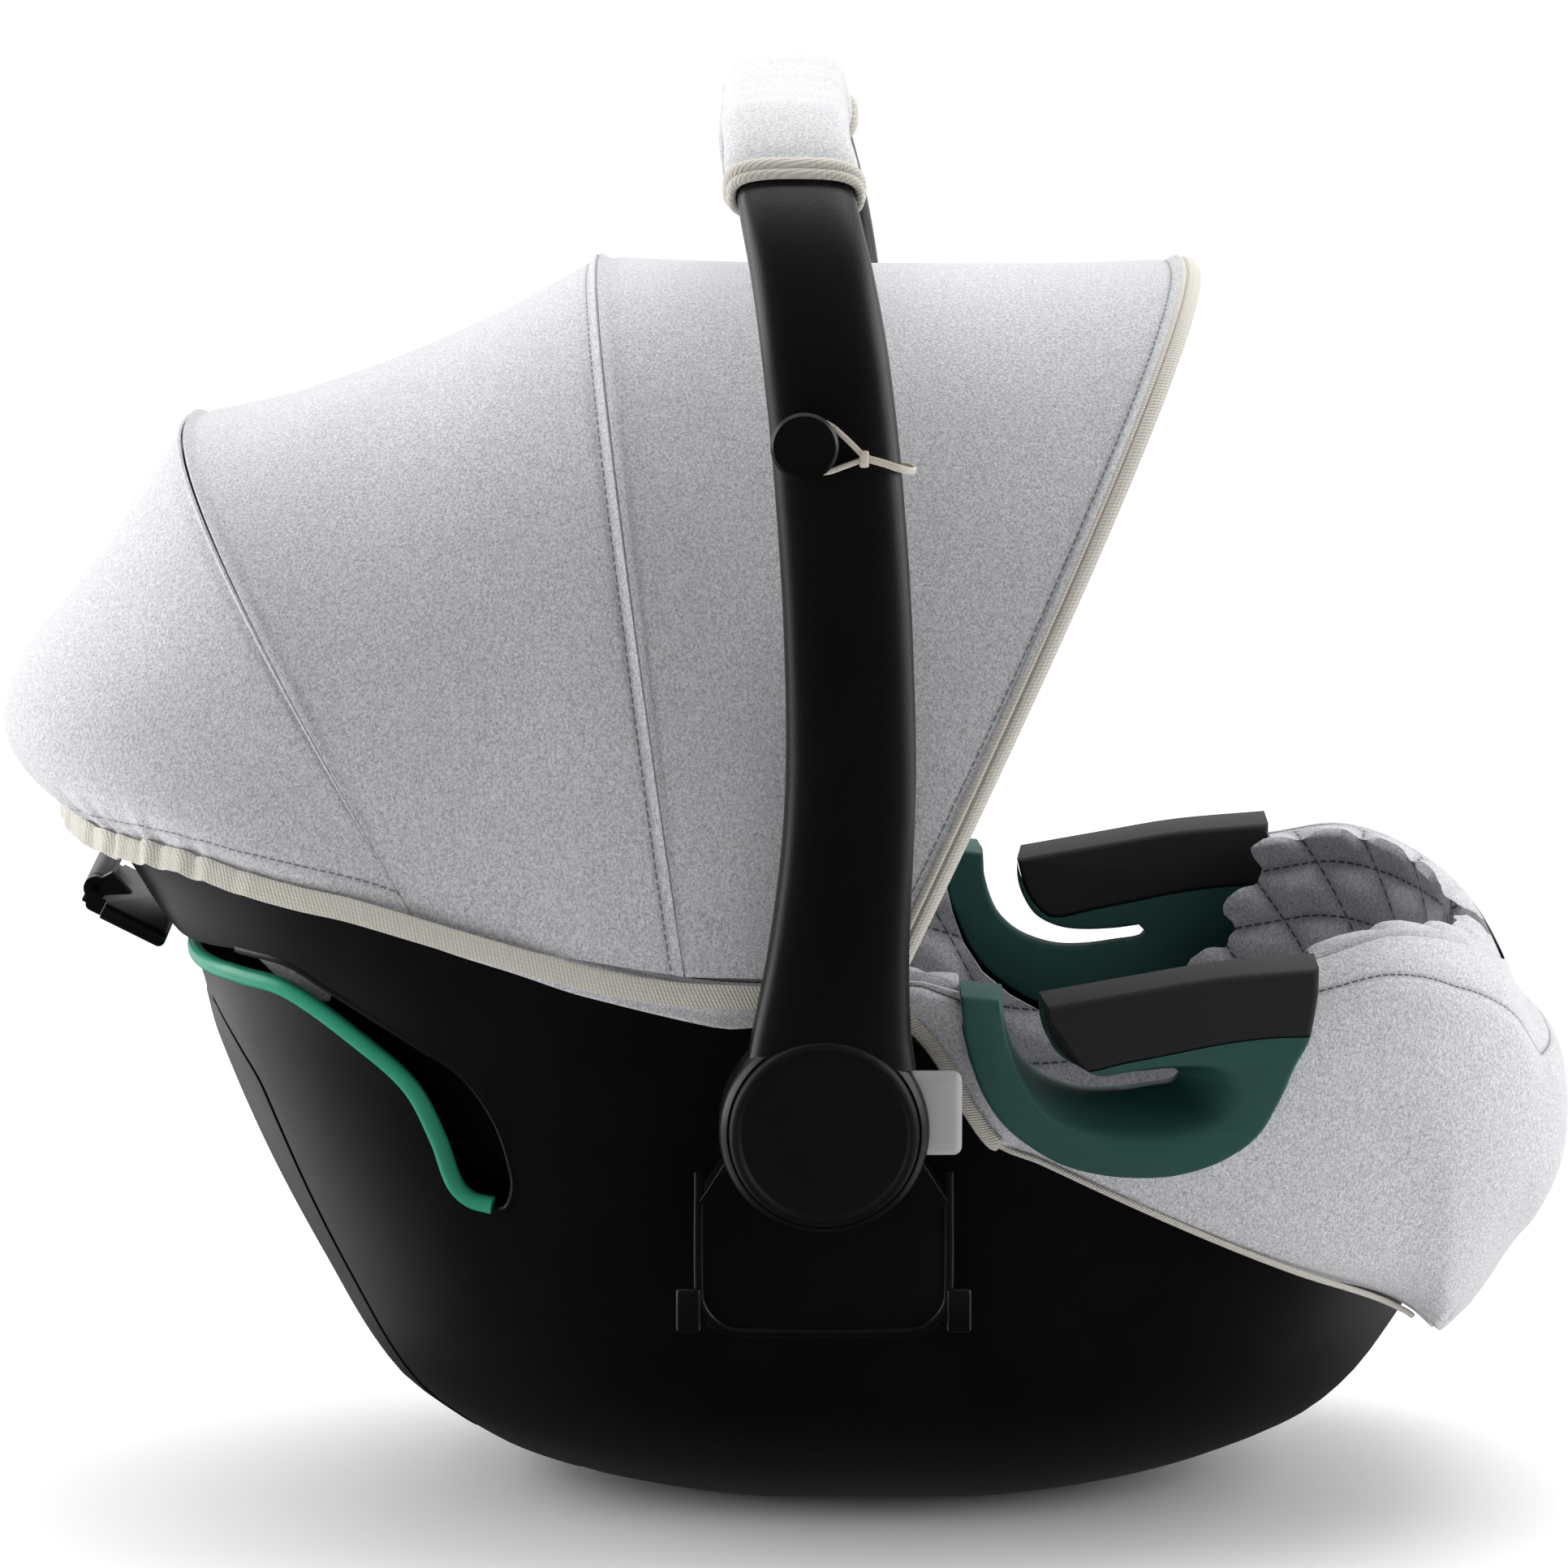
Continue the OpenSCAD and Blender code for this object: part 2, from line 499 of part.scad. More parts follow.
module canopy_pivots() {
    color(black) for (side = [-1, 1]) mirrored(side) {
        across(bow_y - 3, bow_y + 2.4) translate([fold_x, fold_z]) circle(3, $fn = 48);
        across(bow_y + 2.4, bow_y + 3.4) translate([fold_x, fold_z]) circle(5, $fn = 48);
        across(171.8, bow_y - 2.6) translate([fold_x - 6, 223.5]) square([12, 20.5]);
    }
}
// A panel of fabric between two bows, dipping by sag in the middle
module panel(base_a, top_a, w_a, base_b, top_b, w_b, sag) {
    function at(u, v, in) =
        let (a = bow_pt(base_a, top_a, w_a - in, v, in), b = bow_pt(base_b, top_b, w_b - in, v, in),
            h = pow(abs(sin(180 * v)), 2 / canopy_n), s = sag * 4 * u * (1 - u) * h)
        lerp(a, b, u) - [0, 0, s];
    us = [0.004, 0.14, 0.28, 0.43, 0.57, 0.71, 0.86, 0.996];
    vs = [0.004, 0.015, for (k = [1 : 29]) k / 30, 0.985, 0.996];
    color(cloth_grey) band_skin([for (u = us)
        concat([for (v = vs) at(u, v, 0)], backwards([for (v = vs) at(u, v, cloth)]))]);
}
module canopy_mid_panel() { panel(rear_base, rear_top, rear_w, mid_base, mid_top, canopy_w, 10); }
module canopy_front_panel() { panel(mid_base, mid_top, canopy_w, front_base, front_top, canopy_w, 3); }
module canopy_front_binding() {
    vs = [0.004, 0.015, for (k = [1 : 39]) k / 40, 0.985, 0.996];
    at_edge = [for (v = vs) bow_pt(front_base, front_top, canopy_w - 0.9, v, 0.9) + [2.6, 0, 0]];
    color(beige) ring_sweep(at_edge, 2.2, 8);
}
rear_bulge = [[0, 0], [0.19, 10], [0.39, 22], [0.58, 38], [0.71, 42], [0.82, 37], [0.91, 22], [1, 0]];
head_edge = [[-300, 292], [-272, 291], [-250, 290], [-233, 287], [-218, 283], [-194, 277], [-174, 272], [-160, 267], [-143, 259]];
band_line = [[-300, 290], [-272, 288.5], [-250, 288], [-233, 285], [-218, 281], [-194, 275.5], [-174, 271.5],
    [-145, 263], [-115, 254], [-75, 243], [-45, 238], [-17, 236.5], [24, 235]];
function head_hem(v, in) = let (x = -143 - (154 - in) * pow(abs(sin(180 * v)), 2 / 2.6))
    [x, (rear_w + 1 - in) * se(cos(180 * v), 2.6), curve(head_edge, x)];
function head_pt(u, v, in) =
    let (a = bow_pt(rear_base, rear_top, rear_w - in, v, in), b = head_hem(v, in), s = abs(sin(180 * v)),
        g = curve(rear_bulge, u) * pow(s, 1.2))
    lerp(a, b, u) + g * [-s, 0.55 * cos(180 * v), 0];
module canopy_rear_panel() {
    us = [0.004, 0.15, 0.3, 0.45, 0.58, 0.7, 0.8, 0.88, 0.95, 1];
    vs = [0.003, 0.012, for (k = [1 : 35]) k / 36, 0.988, 0.997];
    color(cloth_grey) band_skin([for (u = us)
        concat([for (v = vs) head_pt(u, v, 0)], backwards([for (v = vs) head_pt(u, v, cloth)]))]);
}
module canopy_hem() {
    left = [for (x = [24 : -22 : -130]) let (t = (24 - x) / 167)
        [x, lerp(canopy_w + 0.8, rear_w + 4.4, t), curve(band_line, x)]];
    rear = [for (k = [1 : 29]) let (q = head_hem(k / 30, -3.4)) [q[0], q[1], curve(band_line, q[0])]];
    right = [for (q = backwards(left)) [q[0], -q[1], q[2]]];
    path = concat(left, rear, right);
    n = len(path);
    color(beige) skin([for (i = [0 : n - 1])
        let (d = path[min(i + 1, n - 1)] - path[max(i - 1, 0)], o = [d[1], -d[0], 0] / norm([d[0], d[1]]))
        [for (c = [[-1, -5], [1, -5], [1, 5], [-1, 5]]) path[i] - o * c[0] + [0, 0, c[1]]]]);
}

// ---- carry handle ----
arm_foot_z = 212;
handle_x = [[212, 18.5], [228, 19], [316, 26], [381, 25.5], [445, 21.5], [493, 16.5], [525, 11.5], [550, 6],
    [577, 0.5]];
handle_half_x = [[212, 34], [228, 31.5], [262, 28], [316, 26], [493, 25], [550, 23.5], [577, 22.5]];
function handle_yz(s) =
    let (rise = bar_z - bend_r - arm_foot_z, bend = bend_r * PI / 2, flat = arm_y - bend_r)
    s < rise ? [arm_y, arm_foot_z + s, 0]
    : s < rise + bend ? let (a = (s - rise) / bend * 90)
        [arm_y - bend_r * (1 - cos(a)), bar_z - bend_r * (1 - sin(a)), a]
    : [flat - (s - rise - bend), bar_z, 90];
half_path = (bar_z - bend_r - arm_foot_z) + bend_r * PI / 2 + (arm_y - bend_r);
function handle_ring(s, grow, n = 3, sides = 16) =
    let (q = handle_yz(s), half_x = curve(handle_half_x, q[1]) + grow,
        half_t = lerp(12.5, 10, smooth((q[1] - 480) / 90)) + grow)
    [for (k = [0 : sides - 1]) let (a = k * 360 / sides, u = half_x * se(cos(a), n), w = half_t * se(sin(a), n))
        [curve(handle_x, q[1]) + u, q[0] + w * cos(q[2]), q[1] + w * sin(q[2])]];
function whole_arch(steps, grow) =
    concat([for (s = steps) handle_ring(s, grow)],
        [for (s = backwards(steps)) over_ring(s, grow)]);
function over_ring(s, grow) =
    [for (q = handle_ring(s, grow)) [q[0], -q[1], q[2]]];
arm_steps = concat([for (z = [0 : 28 : 252]) z], [for (k = [0 : 9]) 280 + bend_r * PI / 2 * k / 9],
    [half_path - 70, half_path - 30]);
module carry_handle() { color(black) skin(whole_arch(arm_steps, 0)); }
sleeve_steps = [for (k = [0 : 5]) 280 + bend_r * PI / 2 * (0.52 + 0.48 * k / 5)];
sleeve_all = concat(sleeve_steps, [half_path - 80, half_path - 30]);
module handle_sleeve() {
    color(cloth_grey) skin(concat(whole_arch(sleeve_all, 3), backwards(whole_arch(sleeve_all, 0.3))), true);
}
module sleeve_bindings() {
    band = [for (k = [0 : 2]) 280 + bend_r * PI / 2 * (0.47 + 0.045 * k / 2)];
    color(beige) for (side = [-1, 1]) mirrored(side)
        skin(concat([for (s = band) handle_ring(s, 3.4)], [for (s = backwards(band)) handle_ring(s, 0.3)]), true);
}
module handle_hub(side) {
    color(black) mirrored(side) difference() {
        across(188, 214) translate([hub_x, hub_z]) circle(hub_r, $fn = 128);
        across(180, 212.3) translate([hub_x, hub_z]) circle(pin_r + 0.05, $fn = 64);
        across(212, 220) translate([hub_x, hub_z]) circle(38.2, $fn = 128);
        translate([30, 195.6, hub_z - 11.4]) cube([40, 12.8, 34.8]);
    }
}
module hub_cap(side) {
    color([0.11, 0.11, 0.11]) mirrored(side) difference() {
        across(212.4, 217.5) translate([hub_x, hub_z]) circle(38, $fn = 128);
        across(216.3, 220) translate([hub_x, hub_z]) circle(33, $fn = 128);
    }
}
module handle_button(side) {
    color([0.62, 0.62, 0.62]) mirrored(side) translate([41, 196, hub_z - 11]) cube([30, 12, 34]);
}
module button_spring(side) {
    color("silver") mirrored(side) translate([30.4, 202, hub_z + 6]) rotate([0, 90, 0])
        for (k = [0 : 4]) translate([0, 0, 0.7 + k * 2.2])
            rotate_extrude($fn = 32) translate([4.4, 0]) circle(0.6, $fn = 16);
}

// ---- elastic loops that hold the canopy to the handle ----
loop_z = 463;
loop_face = arm_y + 12.5;
module loop_hook(side) {
    color(black) mirrored(side) {
        across(loop_face - 0.5, loop_face + 3.5) translate([8, loop_z]) circle(9, $fn = 64);
        across(loop_face + 3.5, loop_face + 7) translate([7, loop_z]) circle(11, $fn = 64);
    }
}
module elastic_loop(side) {
    face = loop_face + 1.6;
    strands = [[[8, 0, 10.6], [17, 0.3, 8.5], [24, 0.6, 3], [31, 0.8, -4]],
        [[8, 0, -10.6], [17, 0.3, -10.4], [24, 0.6, -8], [31, 0.8, -5.4]]];
    tail = [[31, 0.8, -4.8], [38, 0.9, -6.6], [45, 0.2, -9], [49.2, -3, -10.4], [51, -9, -11], [50.6, -16, -11],
        [48.4, -23, -11], [45, -27, -11]];
    color(beige) mirrored(side) union() {
        for (l = concat(strands, [tail])) ring_sweep([for (q = l) [q[0], face + q[1], loop_z + q[2]]], 1.2, 8);
    }
}

outer_shell();
back_cover();
belt_slot_trim();
seat_tub();
foam_liner();
seat_cover();
cover_skirt();
infant_insert();
adapter_socket(1);  // adapter_socket_left
adapter_socket(-1);  // adapter_socket_right
pivot_pins();
belt_hook(1);  // belt_hook_left
belt_hook(-1);  // belt_hook_right
hook_grip(1);  // hook_grip_left
hook_grip(-1);  // hook_grip_right
latch_bars();
crotch_strap();
crotch_pad();
buckle_body();
buckle_button();
buckle_tongues();
adjuster_housing();
adjuster_button();
headrest_shell();
headrest_pad();
shoulder_strap(1);  // shoulder_strap_left
shoulder_strap(-1);  // shoulder_strap_right
shoulder_pad(1);  // shoulder_pad_left
shoulder_pad(-1);  // shoulder_pad_right
release_lever();
lever_bracket();
lever_pin();
canopy_pivots();
rear_bow();
canopy_rear_panel();
canopy_hem();
mid_bow();
mid_bow_ends();
canopy_mid_panel();
front_bow();
front_bow_ends();
canopy_front_panel();
canopy_front_binding();
carry_handle();
handle_hub(1);  // handle_hub_left
handle_hub(-1);  // handle_hub_right
hub_cap(1);  // hub_cap_left
hub_cap(-1);  // hub_cap_right
handle_sleeve();
sleeve_bindings();
loop_hook(1);  // loop_hook_left
loop_hook(-1);  // loop_hook_right
elastic_loop(1);  // elastic_loop_left
elastic_loop(-1);  // elastic_loop_right
handle_button(1);  // handle_button_left
handle_button(-1);  // handle_button_right
button_spring(1);  // button_spring_left
button_spring(-1);  // button_spring_right
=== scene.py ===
"""Looks of the infant car seat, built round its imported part. Sizes inside the classes are in millimetres."""

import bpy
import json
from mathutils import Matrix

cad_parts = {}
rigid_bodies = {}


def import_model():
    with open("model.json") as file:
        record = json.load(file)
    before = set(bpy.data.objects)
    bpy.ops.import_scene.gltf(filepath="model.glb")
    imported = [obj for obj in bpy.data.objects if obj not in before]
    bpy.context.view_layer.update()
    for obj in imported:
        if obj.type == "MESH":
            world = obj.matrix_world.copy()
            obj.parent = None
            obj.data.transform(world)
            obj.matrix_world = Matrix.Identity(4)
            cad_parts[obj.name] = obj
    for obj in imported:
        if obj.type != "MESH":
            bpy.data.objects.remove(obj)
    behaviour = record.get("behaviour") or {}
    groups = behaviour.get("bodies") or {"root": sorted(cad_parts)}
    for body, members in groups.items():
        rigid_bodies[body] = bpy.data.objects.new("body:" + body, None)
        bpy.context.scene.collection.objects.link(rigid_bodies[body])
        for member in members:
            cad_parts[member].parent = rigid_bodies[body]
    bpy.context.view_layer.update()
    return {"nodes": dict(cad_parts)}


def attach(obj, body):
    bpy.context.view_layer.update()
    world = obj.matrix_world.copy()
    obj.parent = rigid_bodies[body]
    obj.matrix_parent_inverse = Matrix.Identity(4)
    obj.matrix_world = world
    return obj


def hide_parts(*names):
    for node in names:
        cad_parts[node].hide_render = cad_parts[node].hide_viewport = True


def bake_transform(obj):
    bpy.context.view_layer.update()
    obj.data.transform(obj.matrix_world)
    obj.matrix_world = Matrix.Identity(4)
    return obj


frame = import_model()

import json
import logging
import math
from dataclasses import dataclass, field
from enum import Enum

import bmesh
import bpy
import numpy as np
from mathutils import Vector

LOG = logging.getLogger("car_seat")
MM = 0.001
Line = list[tuple[float, float]]
Point = tuple[float, float, float]
Colour = tuple[float, float, float]


class Side(Enum):
    """The child's left (+Y) or right (-Y)."""

    LEFT = 1
    RIGHT = -1

    @property
    def word(self) -> str:
        """The side's word in piece names."""
        return self.name.lower()


class Pattern(Enum):
    """What is sewn into a cloth."""

    PLAIN = "plain"
    QUILTED = "quilted"
    SEAMED = "seamed"


# ---- numbers and curves ----


def lerp(a: float, b: float, t: float) -> float:
    """The value a share t of the way from a to b."""
    return a + (b - a) * t


def smooth(t: float) -> float:
    """A share from 0 to 1 that starts and ends gently."""
    c = min(1.0, max(0.0, t))
    return c * c * (3 - 2 * c)


def power(c: float, n: float) -> float:
    """A cosine or sine bent for a rounded square of order n."""
    return math.copysign(abs(c) ** (2 / n), c)


def curve(points: Line, x: float) -> float:
    """A smooth curve through given points.

    Args:
        points: (place, value) pairs in rising order.
        x: The place to read.

    Returns:
        The value there.
    """
    last = len(points) - 1
    i = 0
    while i < last - 1 and x >= points[i + 1][0]:
        i += 1

    def slope(k: int) -> float:
        """The curve's slope at point k."""
        a, b = max(0, k - 1), min(last, k + 1)
        return (points[b][1] - points[a][1]) / (points[b][0] - points[a][0])

    w = points[i + 1][0] - points[i][0]
    t = min(1.0, max(0.0, (x - points[i][0]) / w))
    m0, m1 = slope(i) * w, slope(i + 1) * w
    return (
        (2 * t**3 - 3 * t**2 + 1) * points[i][1]
        + (t**3 - 2 * t**2 + t) * m0
        + (3 * t**2 - 2 * t**3) * points[i + 1][1]
        + (t**3 - t**2) * m1
    )


def rounded_path(points: list[Point], step: float) -> list[Point]:
    """Points at even steps along a smooth line through a few given ones.

    Args:
        points: The given points.
        step: The length between two points of the result.

    Returns:
        The finer line.
    """
    p = np.array(points, float)
    s = np.concatenate([[0], np.cumsum(np.linalg.norm(np.diff(p, axis=0), axis=1))])
    lines = [list(zip(s, p[:, k])) for k in range(3)]
    n = max(2, int(s[-1] / step) + 1)
    return [tuple(curve(line, t) for line in lines) for t in np.linspace(0, s[-1], n)]


# ---- mesh work ----


def only(obj: bpy.types.Object) -> bpy.types.Object:
    """Makes obj the one selected and active object."""
    for other in bpy.context.selected_objects:
        other.select_set(False)
    obj.select_set(True)
    bpy.context.view_layer.objects.active = obj
    return obj


def finish_with(obj: bpy.types.Object, kind: str, **settings) -> bpy.types.Object:
    """Adds a modifier with these settings and applies it."""
    only(obj)
    m = obj.modifiers.new(kind.lower(), kind)
    for key, value in settings.items():
        setattr(m, key, value)
    bpy.ops.object.modifier_apply(modifier=m.name)
    return obj


def tidy(obj: bpy.types.Object, outward: bool = True) -> bpy.types.Object:
    """Merges doubles and turns the faces outwards."""
    b = bmesh.new()
    b.from_mesh(obj.data)
    bmesh.ops.remove_doubles(b, verts=b.verts, dist=1e-6)
    if outward:
        bmesh.ops.recalc_face_normals(b, faces=b.faces)
    b.to_mesh(obj.data)
    b.free()
    return obj


def shaded(obj: bpy.types.Object, angle: float = 38) -> bpy.types.Object:
    """Smooths the shading except over edges sharper than angle, in degrees."""
    only(obj)
    bpy.ops.object.shade_smooth_by_angle(angle=math.radians(angle))
    return obj


def new_object(name: str, verts: np.ndarray, faces: list[tuple[int, ...]]) -> bpy.types.Object:
    """An object from points in millimetres and faces."""
    mesh = bpy.data.meshes.new(name)
    mesh.from_pydata((np.asarray(verts, float) * MM).tolist(), [], faces)
    obj = bpy.data.objects.new(name, mesh)
    bpy.context.scene.collection.objects.link(obj)
    return obj


def loft(
    name: str,
    rings: list[list[Point]],
    ring_closed: bool = True,
    row_closed: bool = False,
    capped: bool = False,
    uv: np.ndarray | None = None,
    outward: bool = True,
) -> bpy.types.Object:
    """A skin over rows of points of equal length.

    Args:
        name: The piece's name.
        rings: The rows, in millimetres.
        ring_closed: Joins each row's end to its start.
        row_closed: Joins the last row to the first.
        capped: Closes the first and last row with a face.
        uv: A flat place for each point, with one more row or column where it closes.
        outward: Turns the faces outwards.

    Returns:
        The new object.
    """
    grid = np.array(rings, float)
    m, n = grid.shape[:2]
    faces, flat = [], []
    for i in range(m if row_closed else m - 1):
        for j in range(n if ring_closed else n - 1):
            k, l = (i + 1) % m, (j + 1) % n
            faces.append((i * n + j, i * n + l, k * n + l, k * n + j))
            if uv is not None:
                flat += [uv[i, j], uv[i, j + 1], uv[i + 1, j + 1], uv[i + 1, j]]
    if capped:
        faces += [tuple(range(n))[::-1], tuple(range((m - 1) * n, m * n))]
        if uv is not None:
            flat += [uv[0, j] for j in range(n)][::-1] + [uv[m - 1, j] for j in range(n)]
    obj = new_object(name, grid.reshape(-1, 3), faces)
    if uv is not None:
        layer = obj.data.uv_layers.new(name="flat")
        layer.data.foreach_set("uv", (np.array(flat) * MM).ravel())
    tidy(obj, outward)
    return shaded(obj, 50)


def prism(name: str, outline: Line, y0: float, y1: float) -> bpy.types.Object:
    """A solid with an outline in X and Z, from y0 to y1 across."""
    n = len(outline)
    verts = [(x, y, z) for y in (y0, y1) for x, z in outline]
    faces = [tuple(range(n)), tuple(range(2 * n - 1, n - 1, -1))]
    faces += [(j, (j + 1) % n, n + (j + 1) % n, n + j) for j in range(n)]
    return tidy(new_object(name, verts, faces))


def cut(obj: bpy.types.Object, *tools: bpy.types.Object, keep: bool = False) -> bpy.types.Object:
    """Takes the tools' shapes out of obj, or keeps only what they share.

    Args:
        obj: The piece.
        tools: Closed shapes, which are removed afterwards.
        keep: Keeps the shared part instead.

    Returns:
        The piece.
    """
    for tool in tools:
        finish_with(obj, "BOOLEAN", object=tool, solver="EXACT", operation="INTERSECT" if keep else "DIFFERENCE")
        bpy.data.objects.remove(tool)
    return obj


def rounded(obj: bpy.types.Object, width: float, segments: int = 3, angle: float = 35) -> bpy.types.Object:
    """Rounds the edges of obj that are sharper than angle, in degrees."""
    finish_with(obj, "BEVEL", width=width * MM, segments=segments, limit_method="ANGLE", angle_limit=math.radians(angle))
    return shaded(obj, 40)


def joined(name: str, *parts: bpy.types.Object) -> bpy.types.Object:
    """One object made of several."""
    only(parts[0])
    for p in parts[1:]:
        p.select_set(True)
    bpy.ops.object.join()
    parts[0].name = parts[0].data.name = name
    return parts[0]


def block(name: str, low: Point, high: Point, width: float, segments: int = 4) -> bpy.types.Object:
    """A block between two corners with rounded edges.

    Args:
        name: The piece's name.
        low: Its lowest corner.
        high: Its highest corner.
        width: How far its edges are rounded.
        segments: Faces over each rounding.

    Returns:
        The new object.
    """
    for other in bpy.context.selected_objects:
        other.select_set(False)
    bpy.ops.mesh.primitive_cube_add(size=1)
    obj = bpy.context.object
    obj.name = obj.data.name = name
    lo, hi = Vector(low) * MM, Vector(high) * MM
    bpy.ops.object.mode_set(mode="EDIT")
    bpy.ops.transform.resize(value=(hi - lo)[:], center_override=(0, 0, 0))
    bpy.ops.transform.translate(value=((lo + hi) / 2)[:])
    bpy.ops.object.mode_set(mode="OBJECT")
    return rounded(obj, width, segments)


def turned(name: str, centre: Point, profile: Line, sides: int = 96) -> bpy.types.Object:
    """A round piece on an axis across the seat, drawn out from a disc step by step.

    Args:
        name: The piece's name.
        centre: A point of the axis.
        profile: (radius, distance along the axis) from the first disc to the last.
        sides: Faces round it.

    Returns:
        The new object, closed at both ends.
    """
    for other in bpy.context.selected_objects:
        other.select_set(False)
    cx, cy, cz = (c * MM for c in centre)
    r, y = profile[0]
    bpy.ops.mesh.primitive_circle_add(
        vertices=sides, radius=r * MM, fill_type="NGON", location=(cx, cy + y * MM, cz), rotation=(math.pi / 2, 0, 0)
    )
    obj = bpy.context.object
    obj.name = obj.data.name = name
    bpy.ops.object.transform_apply(location=True, rotation=True, scale=True)
    bpy.ops.object.mode_set(mode="EDIT")
    bpy.ops.mesh.select_all(action="SELECT")
    for r2, y2 in profile[1:]:
        bpy.ops.mesh.extrude_region_move(TRANSFORM_OT_translate={"value": (0, (y2 - y) * MM, 0)})
        bpy.ops.transform.resize(value=(r2 / r, 1, r2 / r), center_override=(cx, cy + y2 * MM, cz))
        r, y = r2, y2
    bpy.ops.object.mode_set(mode="OBJECT")
    only(obj)
    tidy(obj)
    return shaded(obj, 30)


def swept(
    name: str,
    path: list[Point],
    section: Line,
    up: Point | list[Point],
    closed: bool = False,
    outward: bool = True,
) -> bpy.types.Object:
    """A section drawn along a line.

    Args:
        name: The piece's name.
        path: The line.
        section: (across, up) points round the section.
        up: The section's upward direction, one for all or one for each point of the line.
        closed: Joins the line's end to its start.
        outward: Turns the faces outwards.

    Returns:
        The new object, with the length along it and round it as its flat map.
    """
    p = np.array(path, float)
    n = len(p)
    d = np.roll(p, -1, 0) - np.roll(p, 1, 0)
    if not closed:
        d[0], d[-1] = p[1] - p[0], p[-1] - p[-2]
    d /= np.linalg.norm(d, axis=1)[:, None]
    ups = np.array([up] * n if np.ndim(up) == 1 else up, float)
    a = np.cross(d, ups)
    a /= np.linalg.norm(a, axis=1)[:, None]
    b = np.cross(a, d)
    rings = [[p[i] + a[i] * s + b[i] * t for s, t in section] for i in range(n)]
    along = np.concatenate([[0], np.cumsum(np.linalg.norm(np.diff(p, axis=0), axis=1))])
    along = np.append(along, along[-1] + (np.linalg.norm(p[0] - p[-1]) if closed else 1))
    sec = np.array(section + section[:1], float)
    round_it = np.concatenate([[0], np.cumsum(np.linalg.norm(np.diff(sec, axis=0), axis=1))])
    uv = np.array([[(along[i], r) for r in round_it] for i in range(n + 1)])
    return loft(name, rings, True, closed, not closed, uv, outward)


def oval(a: float, b: float, sides: int = 12, n: float = 2) -> Line:
    """An oval section a by b in radius, squared by order n."""
    return [
        (a * power(math.cos(t), n), b * power(math.sin(t), n))
        for t in (2 * math.pi * k / sides for k in range(sides))
    ]


def mirrored(obj: bpy.types.Object, name: str) -> bpy.types.Object:
    """A copy of obj on the child's other side, with its own mesh."""
    twin = bpy.data.objects.new(name, obj.data.copy())
    twin.data.name = name
    bpy.context.scene.collection.objects.link(twin)
    co = np.empty(len(twin.data.vertices) * 3)
    twin.data.vertices.foreach_get("co", co)
    co[1::3] *= -1
    twin.data.vertices.foreach_set("co", co)
    b = bmesh.new()
    b.from_mesh(twin.data)
    bmesh.ops.reverse_faces(b, faces=b.faces)
    b.to_mesh(twin.data)
    b.free()
    return shaded(twin, 40)


def inflated(obj: bpy.types.Object, voxel: float, pressure: float, cap: float) -> bpy.types.Object:
    """Swells a closed pad as cloth under pressure.

    Args:
        obj: The pad, a little smaller than it ends up.
        voxel: The size of its cloth's cells.
        pressure: The pressure inside.
        cap: The furthest that a point may move.

    Returns:
        The pad.
    """
    finish_with(obj, "REMESH", mode="VOXEL", voxel_size=voxel * MM)
    start = np.empty(len(obj.data.vertices) * 3)
    obj.data.vertices.foreach_get("co", start)
    only(obj)
    m = obj.modifiers.new("cloth", "CLOTH")
    m.settings.use_pressure = True
    m.settings.uniform_pressure_force = pressure
    m.settings.effector_weights.gravity = 0
    m.settings.quality = 4
    m.point_cache.frame_start, m.point_cache.frame_end = 1, 20
    for f in range(1, 21):
        bpy.context.scene.frame_set(f)
    bpy.ops.object.modifier_apply(modifier=m.name)
    bpy.context.scene.frame_set(1)
    end = np.empty(len(start))
    obj.data.vertices.foreach_get("co", end)
    move = (end - start).reshape(-1, 3)
    far = np.linalg.norm(move, axis=1)
    move *= np.minimum(1, cap * MM / np.maximum(far, 1e-9))[:, None]
    obj.data.vertices.foreach_set("co", start + move.ravel())
    finish_with(obj, "SUBSURF", levels=1, render_levels=1)
    return shaded(obj, 180)


def place(obj: bpy.types.Object, body: str, slot: str, finish: "Finish", *nodes: str) -> bpy.types.Object:
    """Gives a piece its finish, its body and the nodes it stands for.

    Args:
        obj: The piece.
        body: The body it moves with.
        slot: The record's material slot, which is not used.
        finish: Its finish.
        nodes: The CAD nodes that it replaces.

    Returns:
        The piece.
    """
    obj.data.materials.clear()
    obj.data.materials.append(finish.material())
    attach(obj, body)
    if nodes:
        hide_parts(*nodes)
    return obj


def dress(node: str, finish: "Finish") -> None:
    """Gives a CAD node its finish."""
    slots = frame["nodes"][node].data.materials
    slots.clear()
    slots.append(finish.material())


def tilted(points: list[Point], origin: Point, degrees: float) -> list[Point]:
    """Points turned about Y at an origin, as a tilted piece's own axes give them."""
    c, s = math.cos(math.radians(degrees)), math.sin(math.radians(degrees))
    return [(origin[0] + x * c + z * s, origin[1] + y, origin[2] - x * s + z * c) for x, y, z in points]


def tilt_object(obj: bpy.types.Object, origin: Point, degrees: float) -> bpy.types.Object:
    """Turns an object's mesh about Y and moves it to an origin."""
    co = np.empty(len(obj.data.vertices) * 3)
    obj.data.vertices.foreach_get("co", co)
    moved = tilted([tuple(p) for p in co.reshape(-1, 3) / MM], origin, degrees)
    obj.data.vertices.foreach_set("co", (np.array(moved) * MM).ravel())
    obj.data.update()
    return obj


# ---- finishes ----


